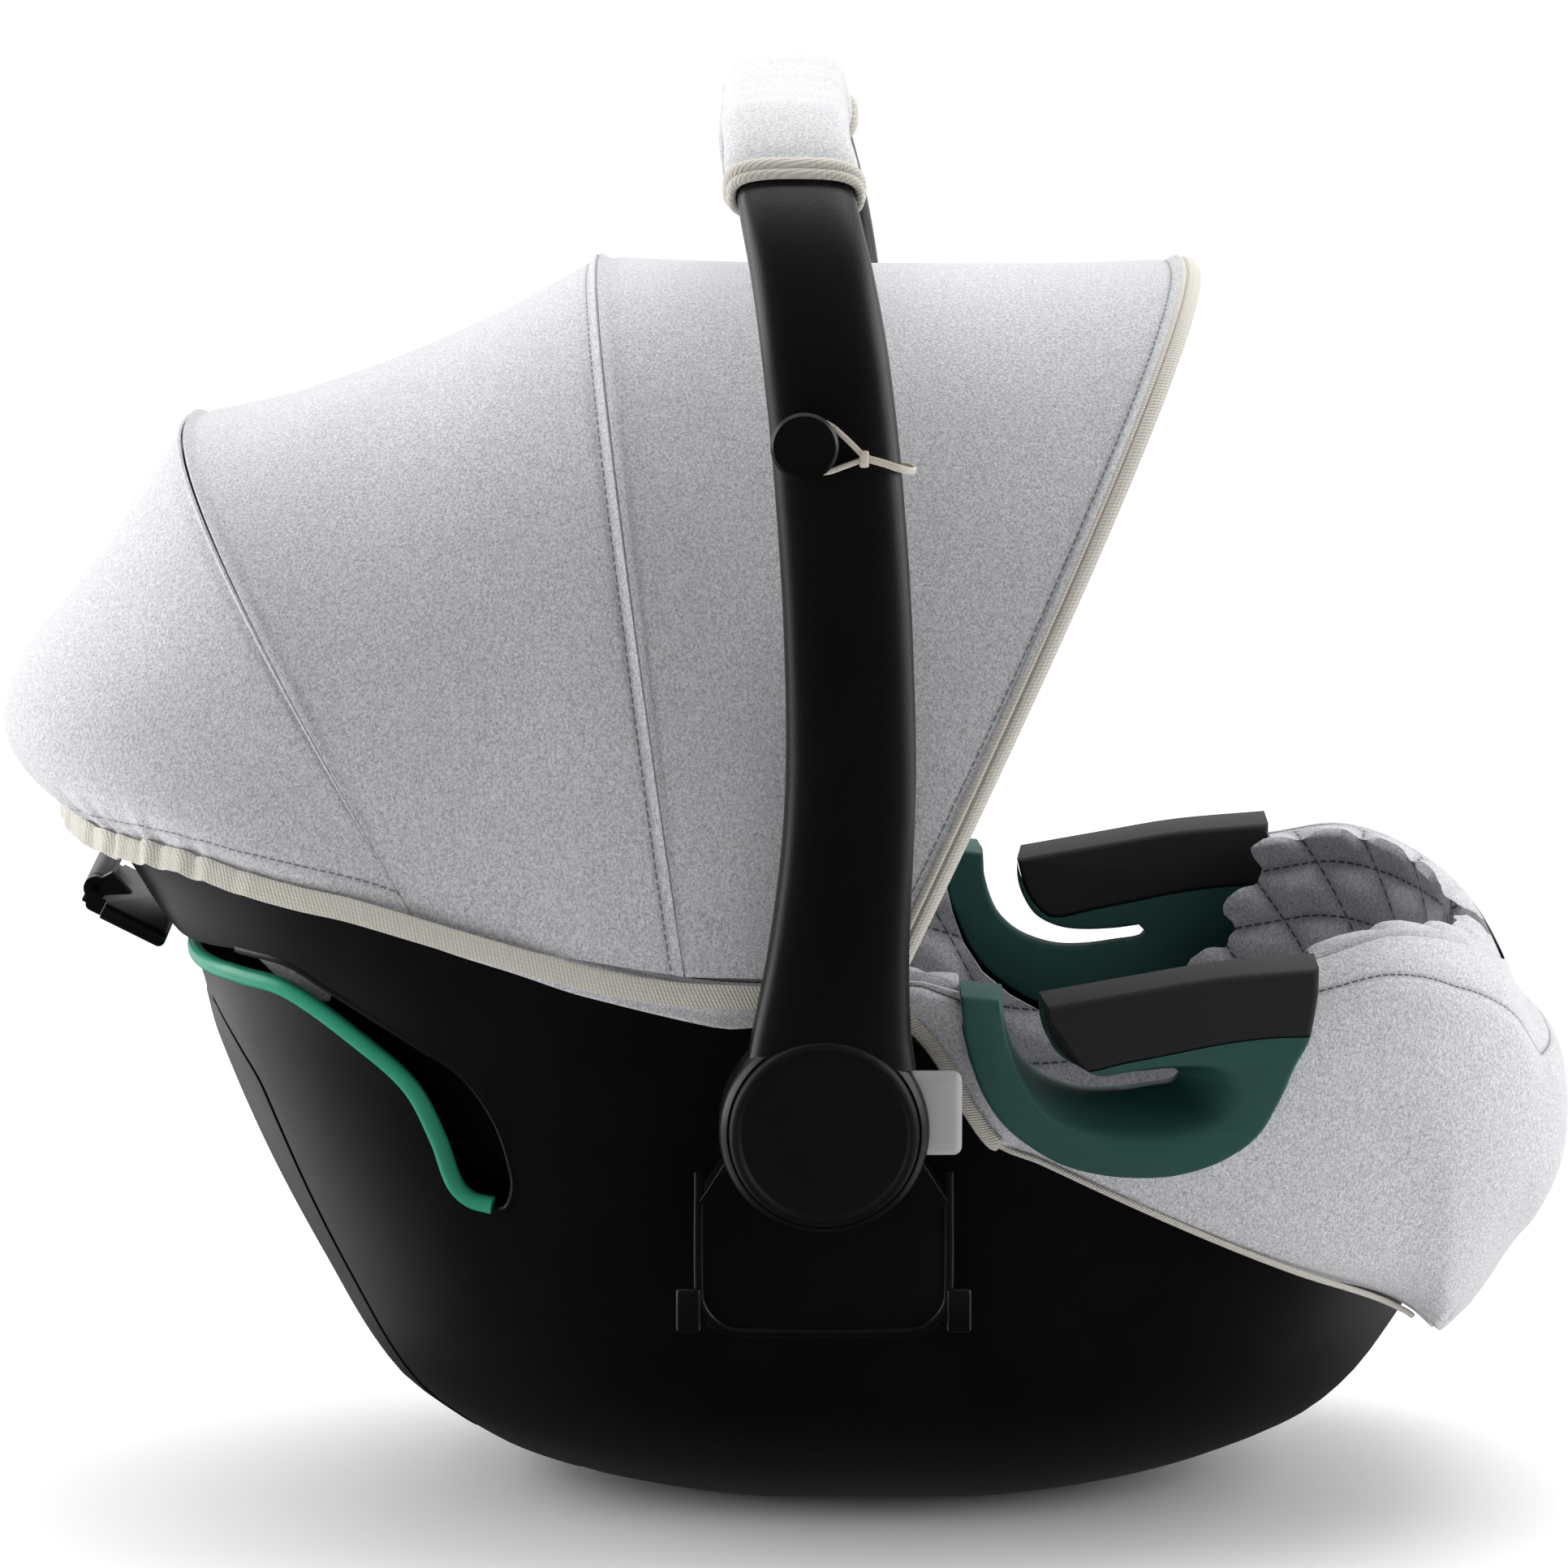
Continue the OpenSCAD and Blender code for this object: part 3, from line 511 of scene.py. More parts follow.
class Wiring:
    """A node tree with short ways to add and join its nodes."""

    def __init__(self, tree: bpy.types.NodeTree) -> None:
        """Keeps the tree."""
        self.tree = tree

    def node(self, kind: str, inputs: dict | None = None, **settings) -> bpy.types.Node:
        """Adds a node.

        Args:
            kind: The node's type.
            inputs: Values or output sockets for its inputs.
            settings: Its other settings.

        Returns:
            The node.
        """
        n = self.tree.nodes.new(kind)
        for key, value in settings.items():
            setattr(n, key, value)
        for key, value in (inputs or {}).items():
            if isinstance(value, bpy.types.NodeSocket):
                self.tree.links.new(value, n.inputs[key])
            else:
                n.inputs[key].default_value = value
        return n

    def math(self, operation: str, a, b=0.0, c=0.0):
        """The output of a math node."""
        return self.node("ShaderNodeMath", {0: a, 1: b, 2: c}, operation=operation).outputs[0]

    def ramp(self, value, low: float, high: float, bottom: float = 0.0, top: float = 1.0):
        """A value taken from low..high to bottom..top and held at the ends."""
        n = self.node(
            "ShaderNodeMapRange",
            {"Value": value, "From Min": low, "From Max": high, "To Min": bottom, "To Max": top},
            clamp=True,
        )
        return n.outputs[0]

    def mix(self, share, a, b):
        """A colour between a and b."""
        n = self.node("ShaderNodeMix", {0: share}, data_type="RGBA")
        for key, value in ((6, a), (7, b)):
            if isinstance(value, bpy.types.NodeSocket):
                self.tree.links.new(value, n.inputs[key])
            else:
                n.inputs[key].default_value = (*value, 1)
        return n.outputs[2]


def effect(name: str, inputs: list[tuple[str, str, float]], outputs: list[str]) -> tuple[bpy.types.NodeTree, Wiring, bpy.types.Node, bpy.types.Node]:
    """Starts a shared effect as a node group.

    Args:
        name: The group's name.
        inputs: (name, socket type, value) for each input.
        outputs: The names of its outputs, all of them plain values.

    Returns:
        The group, its wiring, and its input and output nodes.
    """
    group = bpy.data.node_groups.new(name, "ShaderNodeTree")
    for label, kind, value in inputs:
        s = group.interface.new_socket(name=label, in_out="INPUT", socket_type=kind)
        if kind == "NodeSocketFloat":
            s.default_value = value
    for label in outputs:
        group.interface.new_socket(name=label, in_out="OUTPUT", socket_type="NodeSocketFloat")
    w = Wiring(group)
    return group, w, w.node("NodeGroupInput"), w.node("NodeGroupOutput")


class Effects:
    """The effects that several finishes use, each built once."""

    made: dict[str, bpy.types.NodeTree] = {}

    @classmethod
    def melange(cls) -> bpy.types.NodeTree:
        """Mottled yarn: a speckle of light and dark threads and the relief of the weave."""
        if "melange" in cls.made:
            return cls.made["melange"]
        group, w, i, o = effect(
            "melange", [("Vector", "NodeSocketVector", 0), ("Threads", "NodeSocketFloat", 900.0), ("Twill", "NodeSocketFloat", 0.5)],
            ["Speckle", "Relief"],
        )
        fine = w.node("ShaderNodeTexNoise", {"Vector": i.outputs[0], "Scale": i.outputs[1], "Detail": 2.0, "Roughness": 0.7})
        slub_map = w.node("ShaderNodeMapping", {"Vector": i.outputs[0], "Scale": (1.0, 1.0, 0.75)})
        slub = w.node("ShaderNodeTexNoise", {"Vector": slub_map.outputs[0], "Scale": w.math("MULTIPLY", i.outputs[1], 0.62), "Detail": 1.0})
        cell = w.node("ShaderNodeTexVoronoi", {"Vector": i.outputs[0], "Scale": i.outputs[1], "Randomness": 0.75})
        both = w.math("ADD", w.math("MULTIPLY", fine.outputs[0], 0.62), w.math("MULTIPLY", slub.outputs[0], 0.38))
        w.tree.links.new(w.ramp(both, 0.36, 0.62), o.inputs[0])
        relief = w.math("ADD", w.ramp(cell.outputs[0], 0.0, 0.7, 1.0, 0.0), w.math("MULTIPLY", fine.outputs[0], i.outputs[2]))
        w.tree.links.new(relief, o.inputs[1])
        cls.made["melange"] = group
        return group

    @classmethod
    def grain(cls) -> bpy.types.NodeTree:
        """Moulded grain: fine leathery bumps, slow change of gloss, and a mask of faint scuffs."""
        if "grain" in cls.made:
            return cls.made["grain"]
        group, w, i, o = effect(
            "moulded_grain", [("Vector", "NodeSocketVector", 0), ("Scale", "NodeSocketFloat", 1600.0)], ["Relief", "Patch", "Scuff"]
        )
        cell = w.node("ShaderNodeTexVoronoi", {"Vector": i.outputs[0], "Scale": i.outputs[1], "Randomness": 1.0})
        slow = w.node("ShaderNodeTexNoise", {"Vector": i.outputs[0], "Scale": 14.0, "Detail": 3.0, "Roughness": 0.6})
        line_map = w.node("ShaderNodeMapping", {"Vector": i.outputs[0], "Scale": (0.25, 1.0, 3.0), "Rotation": (0.2, 0.5, 0.1)})
        line = w.node("ShaderNodeTexNoise", {"Vector": line_map.outputs[0], "Scale": 260.0, "Detail": 4.0, "Roughness": 0.75})
        w.tree.links.new(w.ramp(cell.outputs[0], 0.0, 0.6), o.inputs[0])
        w.tree.links.new(slow.outputs[0], o.inputs[1])
        w.tree.links.new(w.math("MULTIPLY", w.ramp(line.outputs[0], 0.66, 0.8), w.ramp(slow.outputs[0], 0.45, 0.7)), o.inputs[2])
        cls.made["grain"] = group
        return group

    @classmethod
    def stitch_line(cls) -> bpy.types.NodeTree:
        """One sewn line: the groove round it and its dashes, from a distance across and a place along."""
        if "stitch_line" in cls.made:
            return cls.made["stitch_line"]
        group, w, i, o = effect(
            "stitch_line",
            [("Across", "NodeSocketFloat", 0), ("Along", "NodeSocketFloat", 0), ("Pitch", "NodeSocketFloat", 0.0042),
             ("Thread", "NodeSocketFloat", 0.00045), ("Groove", "NodeSocketFloat", 0.003)],
            ["Groove", "Stitch"],
        )
        off = w.math("ABSOLUTE", i.outputs[0])
        share = w.math("DIVIDE", off, i.outputs[4])
        groove = w.math("SUBTRACT", 1.0, w.ramp(share, 0.0, 1.0))
        line = w.math("LESS_THAN", off, i.outputs[3])
        dash = w.math("LESS_THAN", w.math("FRACT", w.math("DIVIDE", i.outputs[1], i.outputs[2])), 0.68)
        w.tree.links.new(groove, o.inputs[0])
        w.tree.links.new(w.math("MULTIPLY", line, dash), o.inputs[1])
        cls.made["stitch_line"] = group
        return group

    @classmethod
    def quilting(cls) -> bpy.types.NodeTree:
        """Two families of sewn lines that cross in lozenges, over a flat map in metres."""
        if "quilting" in cls.made:
            return cls.made["quilting"]
        line = cls.stitch_line()
        group, w, i, o = effect(
            "quilting", [("Vector", "NodeSocketVector", 0), ("Row", "NodeSocketFloat", 0.027), ("Column", "NodeSocketFloat", 0.031),
                         ("Slant", "NodeSocketFloat", 0.8), ("Depth", "NodeSocketFloat", 0.1)], ["Groove", "Stitch"],
        )
        xyz = w.node("ShaderNodeSeparateXYZ", {0: i.outputs[0]})
        s, t = xyz.outputs[0], xyz.outputs[1]

        def family(value, pitch, along) -> tuple:
            """The groove and dashes of evenly spaced lines."""
            near = w.math("SUBTRACT", w.math("FRACT", w.math("ADD", w.math("DIVIDE", value, pitch), 0.5)), 0.5)
            g = w.node("ShaderNodeGroup", node_tree=line)
            w.tree.links.new(w.math("MULTIPLY", near, pitch), g.inputs[0])
            w.tree.links.new(along, g.inputs[1])
            for k, v in ((2, 0.0045), (3, 0.0005), (4, 0.0035)):
                g.inputs[k].default_value = v
            return g.outputs[0], g.outputs[1]

        g1, s1 = family(t, i.outputs[1], s)
        g2, s2 = family(w.math("ADD", s, w.math("MULTIPLY", t, i.outputs[3])), i.outputs[2], t)
        inside = w.math("MULTIPLY", w.math("LESS_THAN", t, i.outputs[4]), w.math("GREATER_THAN", t, 0.002))
        w.tree.links.new(w.math("MULTIPLY", w.math("MAXIMUM", g1, g2), inside), o.inputs[0])
        w.tree.links.new(w.math("MULTIPLY", w.math("MAXIMUM", s1, s2), inside), o.inputs[1])
        cls.made["quilting"] = group
        return group

    @classmethod
    def webbing(cls) -> bpy.types.NodeTree:
        """Woven tape: ribs across it and a twill along it, over a flat map in metres."""
        if "webbing" in cls.made:
            return cls.made["webbing"]
        group, w, i, o = effect(
            "webbing", [("Vector", "NodeSocketVector", 0), ("Rib", "NodeSocketFloat", 0.0016)], ["Rib", "Relief"]
        )
        xyz = w.node("ShaderNodeSeparateXYZ", {0: i.outputs[0]})
        along = w.math("DIVIDE", xyz.outputs[0], i.outputs[1])
        over = w.math("DIVIDE", xyz.outputs[1], i.outputs[1])
        a = w.math("SINE", w.math("MULTIPLY", w.math("ADD", along, w.math("MULTIPLY", over, 0.5)), 6.2832))
        b = w.math("SINE", w.math("MULTIPLY", over, 6.2832))
        rib = w.math("MULTIPLY", w.math("ADD", a, 1.0), 0.5)
        w.tree.links.new(rib, o.inputs[0])
        w.tree.links.new(w.math("ADD", rib, w.math("MULTIPLY", b, 0.3)), o.inputs[1])
        cls.made["webbing"] = group
        return group


@dataclass(frozen=True)
class Finish:
    """A finish: a named material that is built once."""

    name: str

    def material(self) -> bpy.types.Material:
        """The material, built on its first use."""
        found = bpy.data.materials.get(self.name)
        if found:
            return found
        m = bpy.data.materials.new(self.name)
        m.use_nodes = True
        w = Wiring(m.node_tree)
        shader = m.node_tree.nodes["Principled BSDF"]
        self.wire(w, shader)
        return m

    def wire(self, w: Wiring, shader: bpy.types.Node) -> None:
        """Builds the finish's nodes."""
        raise NotImplementedError

    @staticmethod
    def bump(w: Wiring, shader: bpy.types.Node, height, strength: float, distance: float) -> None:
        """Feeds a relief to the shader's normal."""
        b = w.node("ShaderNodeBump", {"Height": height, "Strength": strength, "Distance": distance})
        w.tree.links.new(b.outputs[0], shader.inputs["Normal"])


@dataclass(frozen=True)
class Plastic(Finish):
    """Moulded plastic with a fine grain."""

    colour: Colour = (0.01, 0.01, 0.011)
    roughness: float = 0.38
    grain: float = 0.12
    scale: float = 1500.0
    coat: float = 0.0
    shine: float = 0.45
    scuff: Colour = (0.05, 0.05, 0.052)

    def wire(self, w: Wiring, shader: bpy.types.Node) -> None:
        """Colour with a slow change and faint scuffs, gloss that varies, and the grain's relief."""
        place_ = w.node("ShaderNodeTexCoord")
        g = w.node("ShaderNodeGroup", node_tree=Effects.grain())
        w.tree.links.new(place_.outputs["Object"], g.inputs[0])
        g.inputs[1].default_value = self.scale
        slow = w.mix(w.ramp(g.outputs[1], 0.3, 0.7), tuple(c * 0.86 for c in self.colour), tuple(c * 1.12 for c in self.colour))
        w.tree.links.new(w.mix(w.math("MULTIPLY", g.outputs[2], 0.35), slow, self.scuff), shader.inputs["Base Color"])
        rough = w.ramp(g.outputs[1], 0.25, 0.75, self.roughness - 0.05, self.roughness + 0.05)
        w.tree.links.new(w.math("ADD", rough, w.math("MULTIPLY", g.outputs[2], 0.12)), shader.inputs["Roughness"])
        shader.inputs["Specular IOR Level"].default_value = self.shine
        shader.inputs["Coat Weight"].default_value = self.coat
        shader.inputs["Coat Roughness"].default_value = 0.2
        self.bump(w, shader, g.outputs[0], self.grain, 0.0002)


@dataclass(frozen=True)
class Metal(Finish):
    """Brushed or drawn steel."""

    colour: Colour = (0.55, 0.56, 0.58)
    roughness: float = 0.3

    def wire(self, w: Wiring, shader: bpy.types.Node) -> None:
        """Metal with fine drawn lines across it."""
        place_ = w.node("ShaderNodeTexCoord")
        stretched = w.node("ShaderNodeMapping", {"Vector": place_.outputs["Object"], "Scale": (1.0, 0.04, 1.0)})
        lines = w.node("ShaderNodeTexNoise", {"Vector": stretched.outputs[0], "Scale": 1800.0, "Detail": 2.0})
        slow = w.node("ShaderNodeTexNoise", {"Vector": place_.outputs["Object"], "Scale": 60.0, "Detail": 3.0})
        w.tree.links.new(w.mix(w.ramp(slow.outputs[0], 0.3, 0.7), tuple(c * 0.85 for c in self.colour), self.colour), shader.inputs["Base Color"])
        shader.inputs["Metallic"].default_value = 1.0
        w.tree.links.new(w.ramp(lines.outputs[0], 0.3, 0.7, self.roughness - 0.08, self.roughness + 0.1), shader.inputs["Roughness"])
        self.bump(w, shader, lines.outputs[0], 0.1, 0.0001)


@dataclass(frozen=True)
class Cloth(Finish):
    """Mottled upholstery cloth, plain, quilted or with a sewn seam."""

    light: Colour = (0.66, 0.66, 0.68)
    dark: Colour = (0.30, 0.30, 0.32)
    threads: float = 1500.0
    sheen: float = 0.25
    relief: float = 0.35
    pattern: Pattern = Pattern.PLAIN
    seam_at: float = 0.005
    rows: float = 0.027
    # How strongly painted shade darkens the cloth in the grooves along the sewn lines.
    soil: float = 0.45
    thread: float = 1.0

    def wire(self, w: Wiring, shader: bpy.types.Node) -> None:
        """The speckle, the weave's relief, and the sewn lines over the piece's flat map, with painted shade darkening
        the cloth towards each sewn groove.
        """
        place_ = w.node("ShaderNodeTexCoord")
        g = w.node("ShaderNodeGroup", node_tree=Effects.melange())
        w.tree.links.new(place_.outputs["Object"], g.inputs[0])
        g.inputs[1].default_value = self.threads
        g.inputs[2].default_value = 0.6
        cloud = w.node("ShaderNodeTexNoise", {"Vector": place_.outputs["Object"], "Scale": 22.0, "Detail": 2.0})
        lighter = w.mix(w.ramp(cloud.outputs[0], 0.3, 0.7), tuple(c * 0.95 for c in self.light), self.light)
        colour = w.mix(g.outputs[0], self.dark, lighter)
        height = g.outputs[1]
        shader.inputs["Roughness"].default_value = 0.85
        shader.inputs["Sheen Weight"].default_value = self.sheen
        shader.inputs["Sheen Roughness"].default_value = 0.45
        shader.inputs["Specular IOR Level"].default_value = 0.25
        if self.pattern is not Pattern.PLAIN:
            if self.pattern is Pattern.QUILTED:
                s = w.node("ShaderNodeGroup", node_tree=Effects.quilting())
                w.tree.links.new(place_.outputs["UV"], s.inputs[0])
                s.inputs[1].default_value = self.rows
            else:
                s = w.node("ShaderNodeGroup", node_tree=Effects.stitch_line())
                xyz = w.node("ShaderNodeSeparateXYZ", {0: place_.outputs["UV"]})
                w.tree.links.new(w.math("SUBTRACT", xyz.outputs[1], self.seam_at), s.inputs[0])
                w.tree.links.new(xyz.outputs[0], s.inputs[1])
                s.inputs[2].default_value = 0.0036
                s.inputs[3].default_value = 0.0004
                s.inputs[4].default_value = 0.0022
            # Painted shade: the colour turns darker towards each sewn line, where the groove would be shaded.
            shade = w.mix(w.math("MULTIPLY", s.outputs[0], self.soil), colour, tuple(c * 0.5 for c in self.dark))
            colour = w.mix(w.math("MULTIPLY", s.outputs[1], self.thread), shade, tuple(c * 0.3 for c in self.dark))
            height = w.math("SUBTRACT", height, w.math("MULTIPLY", s.outputs[0], 1.5))
        w.tree.links.new(colour, shader.inputs["Base Color"])
        self.bump(w, shader, height, self.relief, 0.0004)


@dataclass(frozen=True)
class Tape(Finish):
    """Woven tape, binding or elastic."""

    light: Colour = (0.62, 0.59, 0.53)
    dark: Colour = (0.42, 0.40, 0.35)
    rib: float = 0.0016
    relief: float = 0.6

    def wire(self, w: Wiring, shader: bpy.types.Node) -> None:
        """Ribs over the piece's flat map and a slow change of tone."""
        place_ = w.node("ShaderNodeTexCoord")
        g = w.node("ShaderNodeGroup", node_tree=Effects.webbing())
        w.tree.links.new(place_.outputs["UV"], g.inputs[0])
        g.inputs[1].default_value = self.rib
        cloud = w.node("ShaderNodeTexNoise", {"Vector": place_.outputs["Object"], "Scale": 420.0, "Detail": 2.0})
        share = w.math("ADD", w.math("MULTIPLY", g.outputs[0], 0.65), w.math("MULTIPLY", cloud.outputs[0], 0.35))
        w.tree.links.new(w.mix(share, self.dark, self.light), shader.inputs["Base Color"])
        shader.inputs["Roughness"].default_value = 0.75
        shader.inputs["Sheen Weight"].default_value = 0.15
        self.bump(w, shader, g.outputs[1], self.relief, 0.0003)


class Finishes:
    """Every finish of the seat."""

    SHELL = Plastic("shell_black", (0.0032, 0.0032, 0.0033), 0.33, 0.08)
    COVER = Plastic("back_cover_black", (0.0036, 0.0036, 0.0038), 0.35, 0.12)
    TUB = Plastic("tub_black", (0.003, 0.003, 0.003), 0.5, 0.2, shine=0.06)
    SOCKET = Plastic("socket_black", (0.0026, 0.0026, 0.0027), 0.34, 0.12)
    HANDLE = Plastic("handle_black", (0.003, 0.003, 0.0031), 0.36, 0.14, 1300.0, shine=0.35)
    CAP = Plastic("hub_cap_black", (0.005, 0.005, 0.0051), 0.44, 0.18, shine=0.2)
    LEVER = Plastic("lever_black", (0.004, 0.004, 0.0042), 0.36, 0.1)
    BOW = Plastic("bow_black", (0.012, 0.012, 0.012), 0.45, 0.1)
    BUCKLE = Plastic("buckle_black", (0.009, 0.009, 0.0095), 0.38, 0.14)
    ADJUSTER = Plastic("adjuster_black", (0.012, 0.012, 0.012), 0.42, 0.14)
    ADJUSTER_KEY = Plastic("adjuster_grey", (0.09, 0.09, 0.095), 0.42, 0.1)
    TRIM = Plastic("slot_trim_green", (0.020, 0.26, 0.155), 0.36, 0.05, coat=0.1, shine=0.3, scuff=(0.05, 0.34, 0.22))
    HOOK = Plastic("hook_green", (0.0085, 0.085, 0.068), 0.42, 0.12, shine=0.2, scuff=(0.04, 0.16, 0.13))
    GRIP = Plastic("grip_rubber", (0.0075, 0.0075, 0.0072), 0.62, 0.4, 1100.0, shine=0.2)
    RED = Plastic("release_red", (0.45, 0.012, 0.014), 0.35, 0.05, coat=0.2, shine=0.5, scuff=(0.5, 0.08, 0.08))
    BUTTON = Plastic("button_grey", (0.36, 0.36, 0.36), 0.42, 0.08, shine=0.4, scuff=(0.42, 0.42, 0.42))
    PIN = Metal("pin_dark", (0.03, 0.03, 0.032), 0.4)
    FOAM = Plastic("foam_white", (0.72, 0.72, 0.72), 0.85, 0.9, 260.0, scuff=(0.6, 0.6, 0.6))
    STEEL = Metal("drawn_steel")
    TONGUE = Metal("tongue_steel", (0.6, 0.6, 0.61), 0.24)
    CANOPY = Cloth("canopy_melange", pattern=Pattern.SEAMED, soil=0.25, thread=0.75)
    SEAT = Cloth("seat_quilted", pattern=Pattern.QUILTED, rows=0.024)
    SKIRT = Cloth("skirt_melange", pattern=Pattern.SEAMED, seam_at=0.006)
    INSERT = Cloth("insert_jersey", (0.70, 0.70, 0.72), (0.38, 0.38, 0.40), 1700.0, 0.3, 0.25)
    PAD = Cloth("pad_melange", (0.66, 0.66, 0.68), (0.32, 0.32, 0.34), 1500.0, 0.3, 0.3)
    SLEEVE = Cloth("sleeve_melange", (0.70, 0.70, 0.71), (0.36, 0.36, 0.38), 1500.0)
    BINDING = Tape("cream_binding")
    PIPING = Tape("cream_piping", rib=0.0012, relief=0.8)
    ELASTIC = Tape("cream_elastic", (0.66, 0.61, 0.52), (0.42, 0.38, 0.31), 0.0009)
    WEBBING = Tape("harness_webbing", (0.045, 0.045, 0.048), (0.018, 0.018, 0.02), 0.0018)


class Form:
    """The shapes that several pieces share: the rocker shell, the hollow and the crest of the cover."""

    RIM: Line = [(-300, 266), (-184, 265), (-132, 252), (-86, 241), (-39, 229), (16, 222), (60, 215), (103, 209),
                 (160, 212), (215, 222), (246, 224), (285, 205), (316, 165)]
    REAR: Line = [(0, -130), (0.03, -145), (0.09, -168), (0.27, -196), (0.45, -219), (0.65, -238), (0.84, -251), (1, -286)]
    FRONT: Line = [(0, 205), (0.04, 233), (0.17, 257), (0.43, 284), (0.79, 303), (1, 310)]
    FLOOR: Line = [(-264, 270), (-248, 262), (-225, 244), (-200, 216), (-150, 172), (-60, 124), (20, 92), (80, 82),
                   (140, 90), (200, 116), (250, 150), (274, 178), (286, 200)]
    CREST: Line = [(-300, 276), (-184, 272), (-132, 262), (-86, 252), (-39, 243), (16, 240), (52, 240), (73, 235),
                   (106, 226), (140, 227), (180, 235), (217, 244), (246, 250), (275, 243), (299, 226), (314, 200)]
    LIFT: Line = [(-300, 16), (-262, 17), (-233, 14), (-205, 8), (-180, 5), (-145, 4), (-110, 2.5), (-80, 0), (316, 0)]
    HUB: Point = (16, 0, 187)
    HOOK_BODY: Line = [(70.5, 238), (71.5, 222), (74.5, 209), (79.5, 195.8), (87.6, 183.5), (99.7, 173.5), (112.8, 166.5),
                       (128.9, 162.5), (146, 161.5), (160.2, 163), (176.3, 168.5), (190.4, 178.5), (199.5, 193.8),
                       (205.5, 207.8), (211.5, 220), (214.5, 260), (71, 260)]

    @staticmethod
    def keel(x: float) -> float:
        """The height of the rocker's underside."""
        return max(0.0, (x - 36) ** 2 / 1280 - 1.8)

    @classmethod
    def rim(cls, x: float) -> float:
        """The height of the shell's rim."""
        return curve(cls.RIM, x)

    @classmethod
    def lift(cls, x: float) -> float:
        """How far the wall's top and the cover rise above the rim's line round the head end."""
        return curve(cls.LIFT, x)

    @staticmethod
    def half_width(h: float) -> float:
        """The shell's half width a share h of the way up."""
        return 68 + 63 * (1 - (1 - h) ** 8) + 40 * h

    @classmethod
    def shell(cls, h: float, a: float, inward: float = 0) -> Point:
        """A point of the shell's wall.

        Args:
            h: The share of the way from the keel to the rim.
            a: The angle round it, from the foot end.
            inward: How far inside the outer face.

        Returns:
            The point.
        """
        xr, xf = curve(cls.REAR, h) + inward, curve(cls.FRONT, h) - inward
        x = (xr + xf) / 2 + (xf - xr) / 2 * power(math.cos(a), 3)
        z = lerp(cls.keel(x) + inward, cls.rim(x), h) + cls.lift(x) * smooth((h - 0.88) / 0.12)
        return x, (cls.half_width(h) - inward) * power(math.sin(a), 3), z

    @classmethod
    def bottom(cls, f: float, a: float, inward: float = 0) -> Point:
        """A point of the shell's underside, a share f of the way out from its middle."""
        x, y, _ = cls.shell(0, a, inward)
        x = 37.5 + (x - 37.5) * f
        return x, y * f, cls.keel(x) + inward

    @classmethod
    def side(cls, x: float, z: float, inward: float) -> Point:
        """The point of the shell's left face at x and z, a little inside it."""
        h = (z - cls.keel(x)) / (cls.rim(x) - cls.keel(x))
        xr, xf = curve(cls.REAR, h), curve(cls.FRONT, h)
        c = min(1.0, max(0.0, ((xr + xf) / 2 - x) / ((xf - xr) / 2)))
        return x + 0.6 * inward * c, (cls.half_width(h) - inward) * (1 - c**3) ** (1 / 3), z

    @staticmethod
    def hollow_half(x: float) -> float:
        """The half width of the hollow at x."""
        u = abs((x - 12) / 272)
        return 146 * max(0.001, 1 - u**3.2) ** (1 / 3.2)

    @classmethod
    def hollow_z(cls, x: float, y: float) -> float:
        """The height of the hollow's face at x and y."""
        return lerp(curve(cls.FLOOR, x), curve(cls.CREST, x) + cls.lift(x), min(1.0, abs(y) / cls.hollow_half(x)) ** 8)

    @classmethod
    def hollow(cls, f: float, a: float, down: float = 0) -> Point:
        """A point of the hollow a share f of the way out from its middle."""
        x, y = 12 + 272 * power(math.cos(a), 3.2) * f, 146 * power(math.sin(a), 3.2) * f
        return x, y, cls.hollow_z(x, y) - down

    @classmethod
    def crest(cls, a: float, inward: float, up: float) -> Point:
        """A point of the cover's crest, over the shell's rim."""
        x, y, _ = cls.shell(1, a, inward)
        return x, y, curve(cls.CREST, x) + cls.lift(x) + up

    @classmethod
    def on_rim(cls, a: float, inward: float, up: float) -> Point:
        """A point just above the shell's rim."""
        x, y, _ = cls.shell(1, a, inward)
        return x, y, cls.rim(x) + cls.lift(x) + up

    @classmethod
    def hook_notches(cls) -> list[bpy.types.Object]:
        """The cutters for the two belt hooks' places."""
        return [prism("notch", cls.HOOK_BODY, *sorted((s * 126.0, s * 230.0))) for s in (1, -1)]


def turns(n: int) -> list[float]:
    """Angles of a whole turn in n steps."""
    return [2 * math.pi * k / n for k in range(n)]


